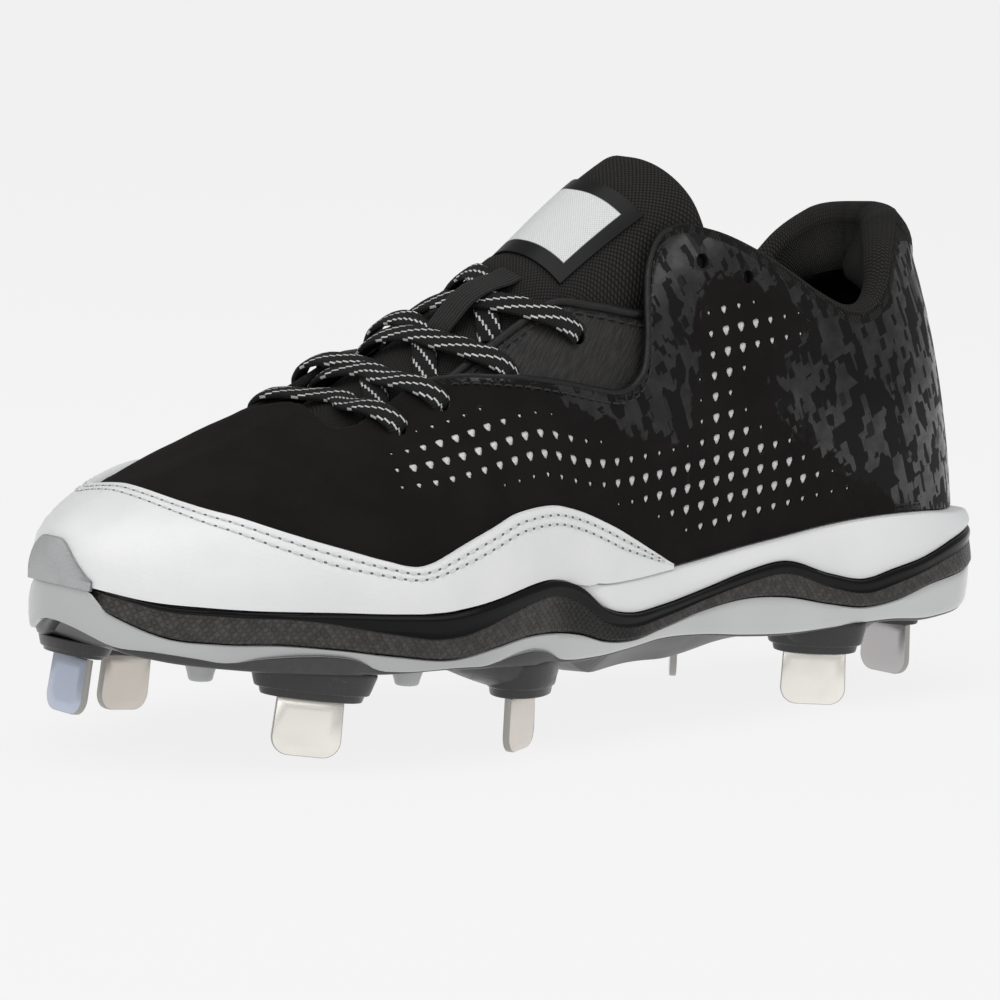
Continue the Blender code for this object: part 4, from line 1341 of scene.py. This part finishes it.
def tongue_skin(along, across, depth):
    """The tongue's face: along from throat to top, across from side to side, this deep in its padding."""
    along, across, depth = np.broadcast_arrays(*(np.asarray(v, float) for v in (along, across, depth)))
    top_x = TONGUE_END - TONGUE_CORNERS * np.abs(across) ** 1.3
    x = TONGUE_FOOT + (top_x - TONGUE_FOOT) * along
    width = 0.36 + 0.12 * smooth_step(0.0, 0.5, along)
    s = np.where(across >= 0, rib_at_spine(x, 1), rib_at_spine(x, -1))
    fullness = 2 + 2.5 * smooth_step(0.65, 0.9, along)
    swell = TONGUE_SWELL * smooth_step(0.4, 1.05, along) * (1 - np.abs(across) ** fullness)
    tuck = TONGUE_TUCK * smooth_step(0.76, 1.0, np.abs(across)) * smooth_step(0.5, 0.68, along)
    return skin(s, 1 - width * np.abs(across) - tuck, -(TONGUE_DEPTH - swell + depth))


def soften(rows, passes):
    """Evens a grid of points across its rows, with its edges kept."""
    rows = np.array(rows)
    for _ in range(passes):
        rows[:, 1:-1] = 0.5 * rows[:, 1:-1] + 0.25 * (rows[:, :-2] + rows[:, 2:])
    return rows


RIDGE_HEIGHT = 1.2    # of the fold across the tongue below its label
CHART_ROW = 40        # row of the tongue that its chart is measured along
# Label: half its width and its height on the chart, and its border at the sides and ends
LABEL_HALF = 20.0
LABEL_TALL = 24.0
LABEL_SIDE = 3.2
LABEL_END = 3.6
# Where it lies on the tongue: start and length along it, half its width, and its two faces' depths
LABEL_FROM = 0.588
LABEL_LONG = 0.262
LABEL_REACH = 0.66
LABEL_DEPTHS = (0.6, -0.7)


def add_tongue(looks):
    """Padded tongue with rounded sides and top, and a plain woven label on it."""
    along = np.linspace(0, 1, 110)[:, None]
    across = np.linspace(-1, 1, 73)[None]
    round_side = np.sqrt(np.clip(1 - np.abs(across) ** 7, 0, 1))
    round_top = np.sqrt(np.clip(1 - np.clip((along - 0.95) / 0.05, 0, 1) ** 2, 0, 1))
    half = TONGUE_PAD / 2 * round_side * round_top
    ridge = smooth_step(0.46, 0.55, along) * (1 - smooth_step(0.566, 0.584, along)) * round_side
    front = soften(tongue_skin(along, across, TONGUE_PAD / 2 - half - RIDGE_HEIGHT * ridge), 6)
    back = soften(tongue_skin(along, across, TONGUE_PAD / 2 + half), 6)

    def with_root(rows):
        middle = rows[0][rows.shape[1] // 2]
        end = middle + (rows[0] - middle) * 0.55 + np.array(TONGUE_ROOT)
        lead = [end + (rows[0] - end) * share for share in np.linspace(0, 1, 10)[:-1]]
        return np.concatenate([lead, rows])

    front, back = with_root(front), with_root(back)
    rows = np.concatenate([front, back[::-1]])
    lengths = lengths_along(rows[:, rows.shape[1] // 2])
    sides = lengths_along(rows[CHART_ROW])
    chart = np.stack(np.broadcast_arrays(sides[None, :], lengths[:, None], 0.0), -1)
    shape = Shape()
    shape.grid(rows, 0, chart)
    shape.grid([rows[0], rows[-1]], 0)
    for end in (0, -1):
        shape.grid([front[:, end], back[:, end]], 0)
    made = place(shape.make("tongue_padded", [looks["tongue"]]), "black_mesh", "tongue")

    label = Shape()
    ups = np.linspace(0, 1, 24)[:, None]
    rights = np.linspace(-1, 1, 45)[None]
    places = (LABEL_FROM + LABEL_LONG * ups, LABEL_REACH * rights)
    inner, outer = (soften(tongue_skin(*places, depth), 3) for depth in LABEL_DEPTHS)
    chart = np.stack(np.broadcast_arrays(rights * LABEL_HALF, ups * LABEL_TALL, 0.0), -1)
    label.grid(outer, 0, chart)
    label.grid(inner, 0, chart)
    for end in (0, -1):
        label.grid([outer[end], inner[end]], 0, [chart[end], chart[end]])
        label.grid([outer[:, end], inner[:, end]], 0, [chart[:, end], chart[:, end]])
    place(label.make("tongue_label", [looks["label"]]), "white_synthetic")


# Webbing loop on the tongue that the upper crossing runs through: rib's foot x, part of the rib, height
KEEPER = (
    (13, 0.865, -6.0), (15, 0.87, -4.4), (19, 0.875, -3.2), (23, 0.88, -1.6), (27, 0.885, -0.6),
    (31, 0.89, -0.6), (35, 0.895, -1.9), (39, 0.90, -3.4), (42, 0.90, -5.6),
)
KEEPER_WIDTH = 7.5
KEEPER_THICK = 1.1
CORD_STEP = 0.8       # between points along the webbing and the lace


def add_keeper(looks):
    points, ups = over_last(KEEPER, 1)
    path, up = resample(points, CORD_STEP, ups)
    shape = Shape()
    sweep(shape, path, up, KEEPER_WIDTH, KEEPER_THICK, sides=24, flat=0.5)
    place(shape.make("lace_keeper", [looks["webbing"]]), "black_mesh")


WING_DEPTH = WALL + 0.7
WING_THICK = 1.5
WING_ENDS = (-17, 52)
# Trim of its top edge: binding's width and thickness, seam's distance below it, its pitch and thread
WING_BINDING = (2.4, 2.2)
WING_SEAM = 3.0
WING_STITCH = (2.9, 0.6)
TRIM_DEPTH = WING_DEPTH - 0.1


def add_wings(looks):
    """Lace wings under the quarter's edge, pierced for the lace, with a bound and stitched top edge."""
    x = np.linspace(*WING_ENDS, 90)
    low = column(WING_COLUMNS, WING, "low", x)
    top = column(WING_COLUMNS, WING, "top", x)
    rolls = Shape()
    seams = Shape()
    for name, side in (("outer", 1), ("inner", -1)):
        s = side_s(x, side)
        arc_low = arc_at(s, low)
        arc_top = arc_at(s, top)
        border = np.concatenate([np.stack([x, arc_low], -1), np.stack([x, arc_top], -1)[::-1]])
        holes = []
        for hole_x, part, radius in WING_EYELETS:
            holes.append(hole_outline((hole_x, float(arc_at(side_s(hole_x, side), part))), radius, 16, 0.0))
        columns = np.arange(WING_ENDS[0] + 1, WING_ENDS[1], SKIN_STEP)
        across, up = np.meshgrid(columns, np.arange(0, arc_top.max(), SKIN_STEP))
        lattice = np.stack([across.ravel(), up.ravel()], -1)
        above = lattice[:, 1] - np.interp(lattice[:, 0], x, arc_low)
        below = np.interp(lattice[:, 0], x, arc_top) - lattice[:, 1]
        lattice = clear_lattice(lattice[(above > 1.0) & (below > 1.0)], holes, 0.6)

        def to_space(flat, deeper, side=side):
            rib = side_s(flat[:, 0], side)
            return skin(rib, part_at(rib, flat[:, 1]), -WING_DEPTH - deeper)

        flat, faces = triangulate(border, holes, lattice)
        shape = Shape()
        chart = np.concatenate([flat, np.zeros((len(flat), 1))], axis=1)
        shape.add(to_space(flat, 0.0), faces, 0, chart)
        shape.add(to_space(flat, WING_THICK), faces, 0, chart)
        for loop in (border, *holes):
            shape.grid([to_space(loop, 0.0), to_space(loop, WING_THICK)], 0, closed=True)
        made = shape.make(f"lace_wing_{name}_leather", [looks["brushed"]])
        place(made, "black_leather", f"lace_wing_{name}")
        edge = skin(s, top, -TRIM_DEPTH)
        sweep(rolls, edge, last_normal(s, top), *WING_BINDING, sides=BINDING_SIDES)
        part = part_at(s, arc_top - WING_SEAM)
        add_stitches(seams, skin(s, part, -TRIM_DEPTH), last_normal(s, part), *WING_STITCH)
    place(rolls.make("wing_binding", [looks["binding"]]), "black_leather")
    place(seams.make("wing_stitches", [looks["black_thread"]]), "black_leather")


LACE_WIDTH = 6.0
LACE_THICK = 1.9
CREST = 0.985         # part of the rib where a crossing passes the middle
# Crossings of the lace, each from an eyelet on one side to one further forward on the other: name, side it
# starts on, rows of the rib's foot x, part of the rib and height for its start, x and height at its crest,
# and such rows for its end
LACE_PATHS = (
    ("lace_1", 1,
     ((69.6, 0.586, -3.0), (69.9, 0.592, 0.4), (71.5, 0.625, 1.4), (76, 0.72, 0.6), (81, 0.84, -2.6)),
     (82.5, -4.6),
     ((81, 0.85, -2.4), (79, 0.74, 0.2), (76, 0.66, 0.9), (74.6, 0.62, 0.0), (74, 0.61, -3.0))),
    ("lace_2", 1,
     ((54, 0.586, -3.0), (54.2, 0.592, 0.4), (55.5, 0.625, 1.4), (59, 0.72, 0.6), (63, 0.84, -2.0)),
     (65, -2.9),
     ((64.5, 0.85, -1.9), (63, 0.77, -2.2), (61.5, 0.70, -3.6), (61, 0.66, -4.6))),
    ("lace_3", 1,
     ((30.6, 0.522, -6.4), (30.8, 0.528, -2.6), (32, 0.56, -1.1), (37, 0.67, -0.9), (42, 0.81, -2.0)),
     (46, -2.3),
     ((46.5, 0.84, -1.6), (46, 0.76, -2.4), (45.5, 0.70, -3.8), (45.2, 0.66, -5.0))),
    ("lace_4", 1,
     ((7.2, 0.506, -6.4), (7.6, 0.512, -2.6), (10, 0.55, -1.3), (17.5, 0.66, -1.4), (25, 0.81, -2.4)),
     (31, -2.5),
     ((33, 0.84, -2.4), (34, 0.74, -3.2), (34.5, 0.68, -4.4), (34.8, 0.64, -5.4))),
)
LACE_RETURNS = (
    ("lace_return_1", -1,
     ((57, 0.60, -3.0), (57, 0.615, 0.2), (57.2, 0.65, 1.6), (58.5, 0.74, 1.4), (60.5, 0.86, -1.2)),
     (63.5, -3.4),
     ((67, 0.88, -4.1), (70, 0.78, -4.2), (72.5, 0.71, -5.0))),
    ("lace_return_2", -1,
     ((33, 0.56, -6.0), (33, 0.575, -2.0), (33.2, 0.62, -0.4), (35, 0.72, -0.4), (38, 0.86, -2.2)),
     (42, -4.0),
     ((46, 0.87, -4.3), (50, 0.78, -4.3), (53, 0.70, -5.0))),
    ("lace_return_3", -1,
     ((9, 0.53, -6.0), (9, 0.545, -2.4), (10, 0.60, -2.0), (13, 0.71, -2.6), (17, 0.86, -3.4)),
     (21, -4.0),
     ((25, 0.87, -4.2), (28, 0.77, -4.4), (30.5, 0.69, -5.0))),
)


def lace_route(side, start, middle, end):
    """Points of a crossing and the way its flat face looks: from one side over the spine to the other."""
    x, height = middle
    crests, crest_ups = zip(*(over_last([(x, CREST, height)], at_side) for at_side in (1, -1)))
    points, ups = over_last(start, side)
    end_points, end_ups = over_last(end, -side)
    points += [(crests[0][0] + crests[1][0]) / 2, *end_points]
    ups += [crest_ups[0][0] + crest_ups[1][0], *end_ups]
    return np.array(points), np.array(ups)


def add_laces(looks):
    """The lace, criss-crossed through the eyelets: the crossings on top, and those that pass below them."""
    solids = [crossing[0] for crossing in LACE_PATHS]
    for name, *route in LACE_PATHS + LACE_RETURNS:
        path, up = lace_route(*route)
        path, up = resample(path, CORD_STEP, up)
        shape = Shape()
        sweep(shape, path, up, LACE_WIDTH, LACE_THICK, sides=20, flat=0.7)
        nodes = [name] if name in solids else []
        place(shape.make(f"{name}_woven", [looks["lace"]]), "lace_cord", *nodes)


# Sole

def sole_layer(s, loops, thirds, across, sag=None):
    """A layer of the sole from rows of points round it, closed above, and below with this sag."""
    shape = Shape()
    charts = loop_charts(s, loops, thirds)
    for i in range(len(loops) - 1):
        shape.grid(loops[i:i + 2], 0, charts[i:i + 2], closed=True)
    share = np.linspace(0, 1, across + 1)[:, None]
    for loop, third, hang in ((loops[0], -9.0, sag), (loops[-1], 9.0, None)):
        rungs = []
        for k in range(len(loop) // 2 + 1):
            rung = loop[k] + (loop[-k % len(loop)] - loop[k]) * share
            if hang:
                rung[:, 2] += hang(rung[:, 0], 4 * share[:, 0] * (1 - share[:, 0]))
            rungs.append(rung)
        chart = np.array(rungs)
        chart[..., 2] = third
        shape.grid(rungs, 0, chart)
    return shape


SHANK_DEPTH = 8.0


def shank_sag(x, middle):
    """The underside's thick middle: a flat shank under the arch, which hangs below the plate's edges."""
    along = smooth_step(-58, -22, x) * (1 - smooth_step(0, 16, x))
    return -SHANK_DEPTH * smooth_step(0, 0.55, middle) * along


def loop_charts(s, loops, thirds):
    """Chart of rows round the sole: way round, distance up from the lowest row, and a value for each row."""
    climb = [np.zeros(len(s))]
    for low, high in zip(loops[:-1], loops[1:]):
        climb.append(climb[-1] + np.linalg.norm(high - low, axis=1))
    return [chart_of(s, up, third) for up, third in zip(climb, thirds)]


# Height of the plate's dark lower layer, which arches over the outer cleats
DARK_COLUMNS = ("x", "height")
DARK = (
    (-146.5, 0.9), (14, 0.9), (22, 0.95), (26, 1.4), (29, 2.6), (32, 3.5), (35, 3.9), (38, 4.0), (41, 3.7),
    (44, 3.2), (47, 2.5), (50, 1.7), (54, 0.9), (60, 0.7), (80, 0.8), (84, 1.2), (86, 1.8), (90, 3.6),
    (94, 4.6), (98, 4.9), (102, 4.8), (106, 4.5), (110, 4.0), (114, 3.4), (118, 2.4), (122, 1.9), (126, 2.3),
    (131, 2.5), (137, 2.0), (141, 1.1), (146.5, 0.6),
)
# Where the frame's black lip begins, as a part of the frame's height
LIP_COLUMNS = ("x", "rise")
LIP = (
    (-146.5, 0.80), (-135, 0.68), (-122, 0.60), (-105, 0.55), (-84, 0.50), (-70, 0.58), (-56, 0.66),
    (-35, 0.55), (-15, 0.48), (5, 0.50), (15, 0.58), (30, 0.70), (45, 0.60), (60, 0.47), (75, 0.46),
    (90, 0.60), (105, 0.78), (120, 0.82), (146.5, 0.85),
)


# Rows of the sole's layers from below up: inset from the outline, part of the layer's height
DARK_ROWS = ((5.2, 0.0), (3.6, 0.03), (2.5, 0.12), (2.0, 0.35), (1.75, 0.7), (1.7, 0.92))
PALE_ROWS = ((1.55, 0.0), (1.15, 0.06), (0.9, 0.2), (0.7, 0.45), (0.6, 0.75), (0.6, 0.93), (0.9, 1.0))
FRAME_ROWS = (
    (0.9, 0.0), (0.35, 0.03), (0.05, 0.10), (0.2, 0.25), (0.45, 0.45), (0.7, 0.60), (0.72, 0.68), (0.6, 0.75),
    (0.5, 0.84), (0.6, 0.93), (0.95, 0.985), (1.5, 1.0),
)
# For the foam also the further inset at the front, and for the insole the rise in millimetres
FOAM_ROWS = (
    (1.6, 3.2, 0.0), (1.15, 3.6, 0.12), (0.9, 3.9, 0.35), (1.1, 3.7, 0.55), (1.6, 3.2, 0.78),
    (2.0, 2.9, 0.92), (2.6, 2.4, 0.985), (3.4, 1.9, 1.0),
)
BED_ROWS = ((0.8, 0.0), (0.0, 1.2), (0.0, 3.2), (0.4, 3.9), (1.2, 4.2))
# Further inset of the frame at the toe, on the inner side of its tip and at the heel
FRAME_TOE = 3.6
FRAME_INNER_TIP = 1.9
FRAME_HEEL = 3.2


def add_sole(looks):
    """Pale plate, dark scaled frame, white foam midsole and insole, each as fine rows round the sole."""
    s = np.arange(LOOP_STEPS) / LOOP_STEPS
    x, y = outline(s).T
    toe = smooth_step(141, 144.5, x)
    tip = smooth_step(132, 144, x)
    inner_tip = smooth_step(116, 133, x) * smooth_step(2, 10, -y)
    front = smooth_step(8, 19, x)
    heel = 1 - smooth_step(-145, -132, x)
    plate_top = sole_line("plate_top", s)
    band = sole_line("band_top", s)
    feather = sole_line("feather", s)

    low = sole_line("plate_low", s) - 1.3 * (1 - smooth_step(-112, -92, x))
    pale_top = plate_top + toe * (band - plate_top - 0.25)
    dark = column(DARK_COLUMNS, DARK, "height", x)
    arch = np.clip((dark - 1.8) / 2.5, 0, 1) * (1 - smooth_step(116, 122, x))
    loops = [sole_loop(s, inset + 1.8 * tip - 1.5 * arch, low + rise * dark) for inset, rise in DARK_ROWS]
    for inset, rise in PALE_ROWS:
        loops.append(sole_loop(s, inset, low + dark + rise * (pale_top - low - dark)))
    thirds = [-1.0] * len(DARK_ROWS) + [1.0] * len(PALE_ROWS)
    plate = sole_layer(s, loops, thirds, 8, shank_sag)
    place(plate.make("outsole_plate_moulded", [looks["plate"]]), "light_gloss", "outsole_plate")

    bottom = plate_top + GAP
    loops = []
    for inset, rise in FRAME_ROWS:
        more = np.maximum(FRAME_TOE * toe, FRAME_INNER_TIP * inner_tip) + FRAME_HEEL * heel * rise ** 2
        loops.append(sole_loop(s, inset + more, bottom + rise * (band - bottom)))
    loops.append(sole_loop(s, 1.6 + 3.2 * front + 2.6 * toe + FRAME_HEEL * heel, band))
    lip = column(LIP_COLUMNS, LIP, "rise", x)
    band_frame = sole_layer(s, loops, [rise - lip for _, rise in FRAME_ROWS] + [1.0 - lip], 4)
    place(band_frame.make("outsole_frame_moulded", [looks["frame"]]), "black_gloss", "outsole_frame")

    base = band + GAP
    top = feather - 0.5
    loops = []
    for inset, more, rise in FOAM_ROWS:
        inset = inset + more * front + (2.6 + 2.2 * rise) * heel
        loops.append(sole_loop(s, inset, base + rise * (top - heel - base)))
    midsole = sole_layer(s, loops, [0.0] * len(loops), 4)
    place(midsole.make("midsole_foam", [looks["foam"]]), "white_foam", "midsole")

    inside = sole_line("foot_inset", s) + WALL + 1.4
    bed = feather + 0.5
    loops = [sole_loop(s, inside + inset, bed + rise) for inset, rise in BED_ROWS]
    insole = sole_layer(s, loops, [0.0] * len(loops), 8)
    place(insole.make("insole_lined", [looks["insole"]]), "black_mesh", "insole")


# Cleats

def underside(x, y):
    """Height of the plate's underside at this place, between its two edges."""
    lift = column(SOLE_COLUMNS, SOLE, "plate_low", x)
    half = outline(np.linspace(0, 0.5, 200))
    width = np.interp(x, half[:, 0], half[:, 1])
    return float(lift + shank_sag(np.asarray(x, float), max(0.0, 1 - (y / width) ** 2)))


# Section of a cleat's base from its foot up: part of its width, part of its height
FLARE = (
    (0.0, 0.0), (0.60, 0.0), (0.76, 0.0), (0.795, 0.02), (0.81, 0.08), (0.825, 0.20), (0.835, 0.235),
    (0.88, 0.25), (0.905, 0.28), (0.93, 0.42), (0.97, 0.70), (0.995, 0.86), (1.0, 0.93), (0.985, 1.0),
    (0.0, 1.0),
)
# Fairings that carry a base on along the plate: length forward, half its length and half its width
FAIRINGS = {
    "rear_outer": (8, 19, 8.8),
    "rear_inner": (8, 19, 8.8),
    "heel_outer": (-6, 17, 7.2),
    "heel_inner": (-6, 17, 7.2),
}
FAIRING_FOOT = (7, 6)     # half its length and half its width at its foot
# Rings of a fairing from its foot up: part of its size there, part of its height
FAIRING_ROWS = (
    (0.0, 0.0), (0.7, 0.0), (0.93, 0.03), (1.0, 0.12), (1.0, 0.3), (1.0, 0.55), (1.0, 0.8), (1.0, 1.0),
    (0.0, 1.0),
)
# Rows of a blade from face to face: part of its size, part of its thickness
BLADE_ROWS = (
    (0.6, -0.5), (0.965, -0.5), (0.985, -0.46), (1.0, -0.34), (1.0, 0.34), (0.985, 0.46), (0.965, 0.5),
    (0.6, 0.5),
)
# Tint of each blade: the same steel, its colour a painted reflection that differs from blade to blade
BLADE_STEEL = {
    "toe": "steel_painted_blue_reflection",
    "ball_inner": "steel_painted_warm_reflection",
    "ball_outer": "steel_painted_bright_reflection",
    "rear_outer": "steel_painted_warm_reflection",
    "rear_inner": "steel_painted_grey_reflection",
    "heel_outer": "steel_painted_bright_reflection",
    "heel_inner": "steel_painted_grey_reflection",
    "heel_back": "steel_painted_grey_reflection",
}
BASE_SIDES = 56
# Section of a nub from its tip up: part of its radius, part of its height
NUB_SECTION = (
    (0.0, 0.0), (0.45, 0.0), (0.62, 0.03), (0.69, 0.10), (0.74, 0.3), (0.92, 0.8), (1.0, 1.0), (0.0, 1.0),
)
NUB_SIDES = 36
CLEAT_SHARP = 30      # degrees


def standing(x, y, lift, tilt):
    """The function that takes points from a cleat's own frame, at its blade's tip, to the shoe's."""
    stand = np.array(Matrix.Translation((x, y, lift)) @ Matrix.Rotation(-math.radians(tilt), 4, "Y"))

    def to_space(points):
        return np.asarray(points, float) @ stand[:3, :3].T + stand[:3, 3]

    return to_space


def add_cleats(looks):
    """Flared bases under the plate and the rounded steel blades in them."""
    for name, x, y, turn, lift, tilt, wide, deep in CLEATS:
        to_space = standing(x, y, lift, tilt)
        heading = math.radians(turn)
        along = np.array([math.cos(heading), math.sin(heading), 0])
        side = np.array([-math.sin(heading), math.cos(heading), 0])
        ceiling = underside(x, y) - lift
        top = ceiling - BASE_SINK - 0.16 * wide * math.sin(math.radians(abs(tilt)))
        base = cleat_base(name, to_space, along * wide, side * deep, top + BASE_REACH)
        made = base.make(f"cleat_base_{name}_moulded", [looks["cleat"]], CLEAT_SHARP)
        place(made, "dark_plastic", f"cleat_base_{name}")
        steel_look = looks[BLADE_STEEL[name]]
        made = blade(to_space, along, side).make(f"blade_{name}_steel", [steel_look], CLEAT_SHARP)
        place(made, "steel", f"blade_{name}")


def cleat_base(name, to_space, along, across, top):
    """A flared base up to this height, these ways long and wide, and its fairing if it has one."""
    foot = BLADE_HEIGHT + GAP
    angles = ring_angles(BASE_SIDES)
    shape = Shape()
    rows = []
    for grow, rise in FLARE:
        ring = np.outer(np.cos(angles) * grow, along) + np.outer(np.sin(angles) * grow, across)
        rows.append(to_space(ring + np.array([0, 0, foot + rise * (top - foot)])))
    shape.grid(rows, closed=True)
    if name in FAIRINGS:
        forward, half_length, half_width = FAIRINGS[name]
        foot_length, foot_width = FAIRING_FOOT
        rows = []
        for grow, share in FAIRING_ROWS:
            length = foot_length + (half_length - foot_length) * share**0.7
            width = foot_width + (half_width - foot_width) * share**0.5
            height = np.full(BASE_SIDES, foot + (0.22 + 0.78 * share) * (top - foot))
            ring = (np.cos(angles) * grow * length + forward * share, np.sin(angles) * grow * width, height)
            rows.append(to_space(np.stack(ring, -1)))
        shape.grid(rows, closed=True)
    return shape


def blade(to_space, along, side):
    """A steel blade with two round corners at its tip and a bevelled rim, marked in its chart for painted
    shade.
    """
    half = BLADE_WIDTH / 2
    corner = np.radians(np.linspace(0, 90, 10))
    left = [(-half + BLADE_CORNER * (1 - math.sin(a)), BLADE_CORNER * (1 - math.cos(a))) for a in corner]
    right = [(-u, v) for u, v in left]
    edge = np.array([*right, (half - 0.3, BLADE_HEIGHT), (0.3 - half, BLADE_HEIGHT), *left[::-1]])
    middle = np.array([0, BLADE_HEIGHT / 2])
    shape = Shape()
    rows = []
    charts = []
    for shrink, shift in BLADE_ROWS:
        flat = middle + (edge - middle) * shrink
        out = side * shift * BLADE_THICK
        rows.append(to_space([along * u + out + np.array([0, 0, v]) for u, v in flat]))
        # The rim's rows, which the steel's colour darkens as painted shade
        rim = float(abs(shift) < 0.5)
        charts.append(np.concatenate([flat, np.full((len(flat), 1), rim)], axis=1))
    shape.grid(rows, 0, charts, closed=True)
    for end in (0, -1):
        shape.add(rows[end], [tuple(range(len(edge)))], 0, charts[end])
    return shape


def add_nubs(looks):
    """Small tapered nubs, rounded at the tip."""
    angles = ring_angles(NUB_SIDES)
    for name, x, y, radius, height in NUBS:
        low = underside(x, y) - 0.9 - height
        rows = []
        for grow, rise in NUB_SECTION:
            reach = radius * grow
            ring = (x + reach * np.cos(angles), y + reach * np.sin(angles), low + rise * height)
            rows.append(np.stack(np.broadcast_arrays(*ring), -1))
        shape = Shape()
        shape.grid(rows, 0, np.full((len(rows), NUB_SIDES, 3), 9.0), closed=True)
        made = shape.make(f"nub_{name}_moulded", [looks["plate"]], CLEAT_SHARP)
        place(made, "light_gloss", f"nub_{name}")


# Stage, light and camera

AIM = (2.5, 0.0, 60.0)
AZIMUTH = 137.593
ELEVATION = 7.884
ROLL = 2.5
DISTANCE = 1400.0
PIXELS_PER_MM = 4.077
IMAGE_WIDTH = 1000
SENSOR = 36.0
SHIFT_RIGHT = -4.269   # of the aim, along the image, in millimetres
SHIFT_UP = -6.411
CLIP = (0.05, 60.0)    # nearest and furthest that the camera sees, in metres
FLOOR_HALF = 9.0       # in metres
SURROUND = 0.38        # strength of the white surroundings
# Soft boxes: name, azimuth, elevation, distance, width, height in metres, and watts
LIGHTS = (
    ("key", 100, 42, 1.6, 1.2, 1.2, 8.5),
    ("fill", 196, 28, 1.7, 1.1, 0.8, 4.0),
    ("top", 150, 80, 1.5, 1.4, 1.0, 6.5),
    ("front", 140, 14, 2.4, 2.0, 0.5, 4.0),
)


def view_axes(azimuth, elevation, roll):
    """Right, up and backward directions of a view."""
    a, e, r = (math.radians(angle) for angle in (azimuth, elevation, roll))
    back = np.array([math.sin(a) * math.cos(e), -math.cos(a) * math.cos(e), math.sin(e)])
    right = np.cross(-back, [0, 0, 1])
    right /= np.linalg.norm(right)
    up = np.cross(right, -back)
    return math.cos(r) * right + math.sin(r) * up, math.cos(r) * up - math.sin(r) * right, back


def add_camera():
    right, up, back = view_axes(AZIMUTH, ELEVATION, ROLL)
    eye = np.array(AIM) + SHIFT_RIGHT * right + SHIFT_UP * up + DISTANCE * back
    data = bpy.data.cameras.new("camera")
    data.sensor_width = SENSOR
    data.lens = PIXELS_PER_MM * DISTANCE / IMAGE_WIDTH * SENSOR
    data.clip_start, data.clip_end = CLIP
    camera = bpy.data.objects.new("camera", data)
    bpy.context.scene.collection.objects.link(camera)
    matrix = np.eye(4)
    matrix[:3, 0], matrix[:3, 1], matrix[:3, 2], matrix[:3, 3] = right, up, back, eye * MM
    camera.matrix_world = Matrix(matrix.tolist())
    bpy.context.scene.camera = camera


def add_light(name, azimuth, elevation, distance, width, height, watts):
    """A soft box at this direction from the shoe, looking at it."""
    data = bpy.data.lights.new(name, "AREA")
    data.shape = "RECTANGLE"
    data.size = width
    data.size_y = height
    data.energy = watts
    light = bpy.data.objects.new(name, data)
    bpy.context.scene.collection.objects.link(light)
    right, up, back = view_axes(azimuth, elevation, 0)
    matrix = np.eye(4)
    matrix[:3, 0], matrix[:3, 1], matrix[:3, 2] = right, up, back
    matrix[:3, 3] = np.array(AIM) * MM + back * distance
    light.matrix_world = Matrix(matrix.tolist())


def add_stage():
    """Pale floor, soft boxes and even white surroundings."""
    corners = [(right * FLOOR_HALF, up * FLOOR_HALF, 0) for right, up in ((-1, -1), (1, -1), (1, 1), (-1, 1))]
    mesh = bpy.data.meshes.new("floor")
    mesh.from_pydata(corners, [], [(0, 1, 2, 3)])
    mesh.materials.append(floor_look())
    floor = bpy.data.objects.new("floor", mesh)
    bpy.context.scene.collection.objects.link(floor)
    world = bpy.data.worlds.new("studio")
    world.use_nodes = True
    world.node_tree.nodes["Background"].inputs["Color"].default_value = (1.0, 1.0, 1.0, 1.0)
    world.node_tree.nodes["Background"].inputs["Strength"].default_value = SURROUND
    bpy.context.scene.world = world
    bpy.context.scene.view_settings.view_transform = "Standard"
    for light in LIGHTS:
        add_light(*light)


def main():
    looks = all_looks()
    add_camera()
    add_laces(looks)
    add_upper(looks)
    add_edge_trim(looks)
    add_toe_guard(looks)
    add_toe_bumper(looks)
    add_tongue(looks)
    add_keeper(looks)
    add_wings(looks)
    add_sole(looks)
    add_cleats(looks)
    add_nubs(looks)
    add_stage()


main()
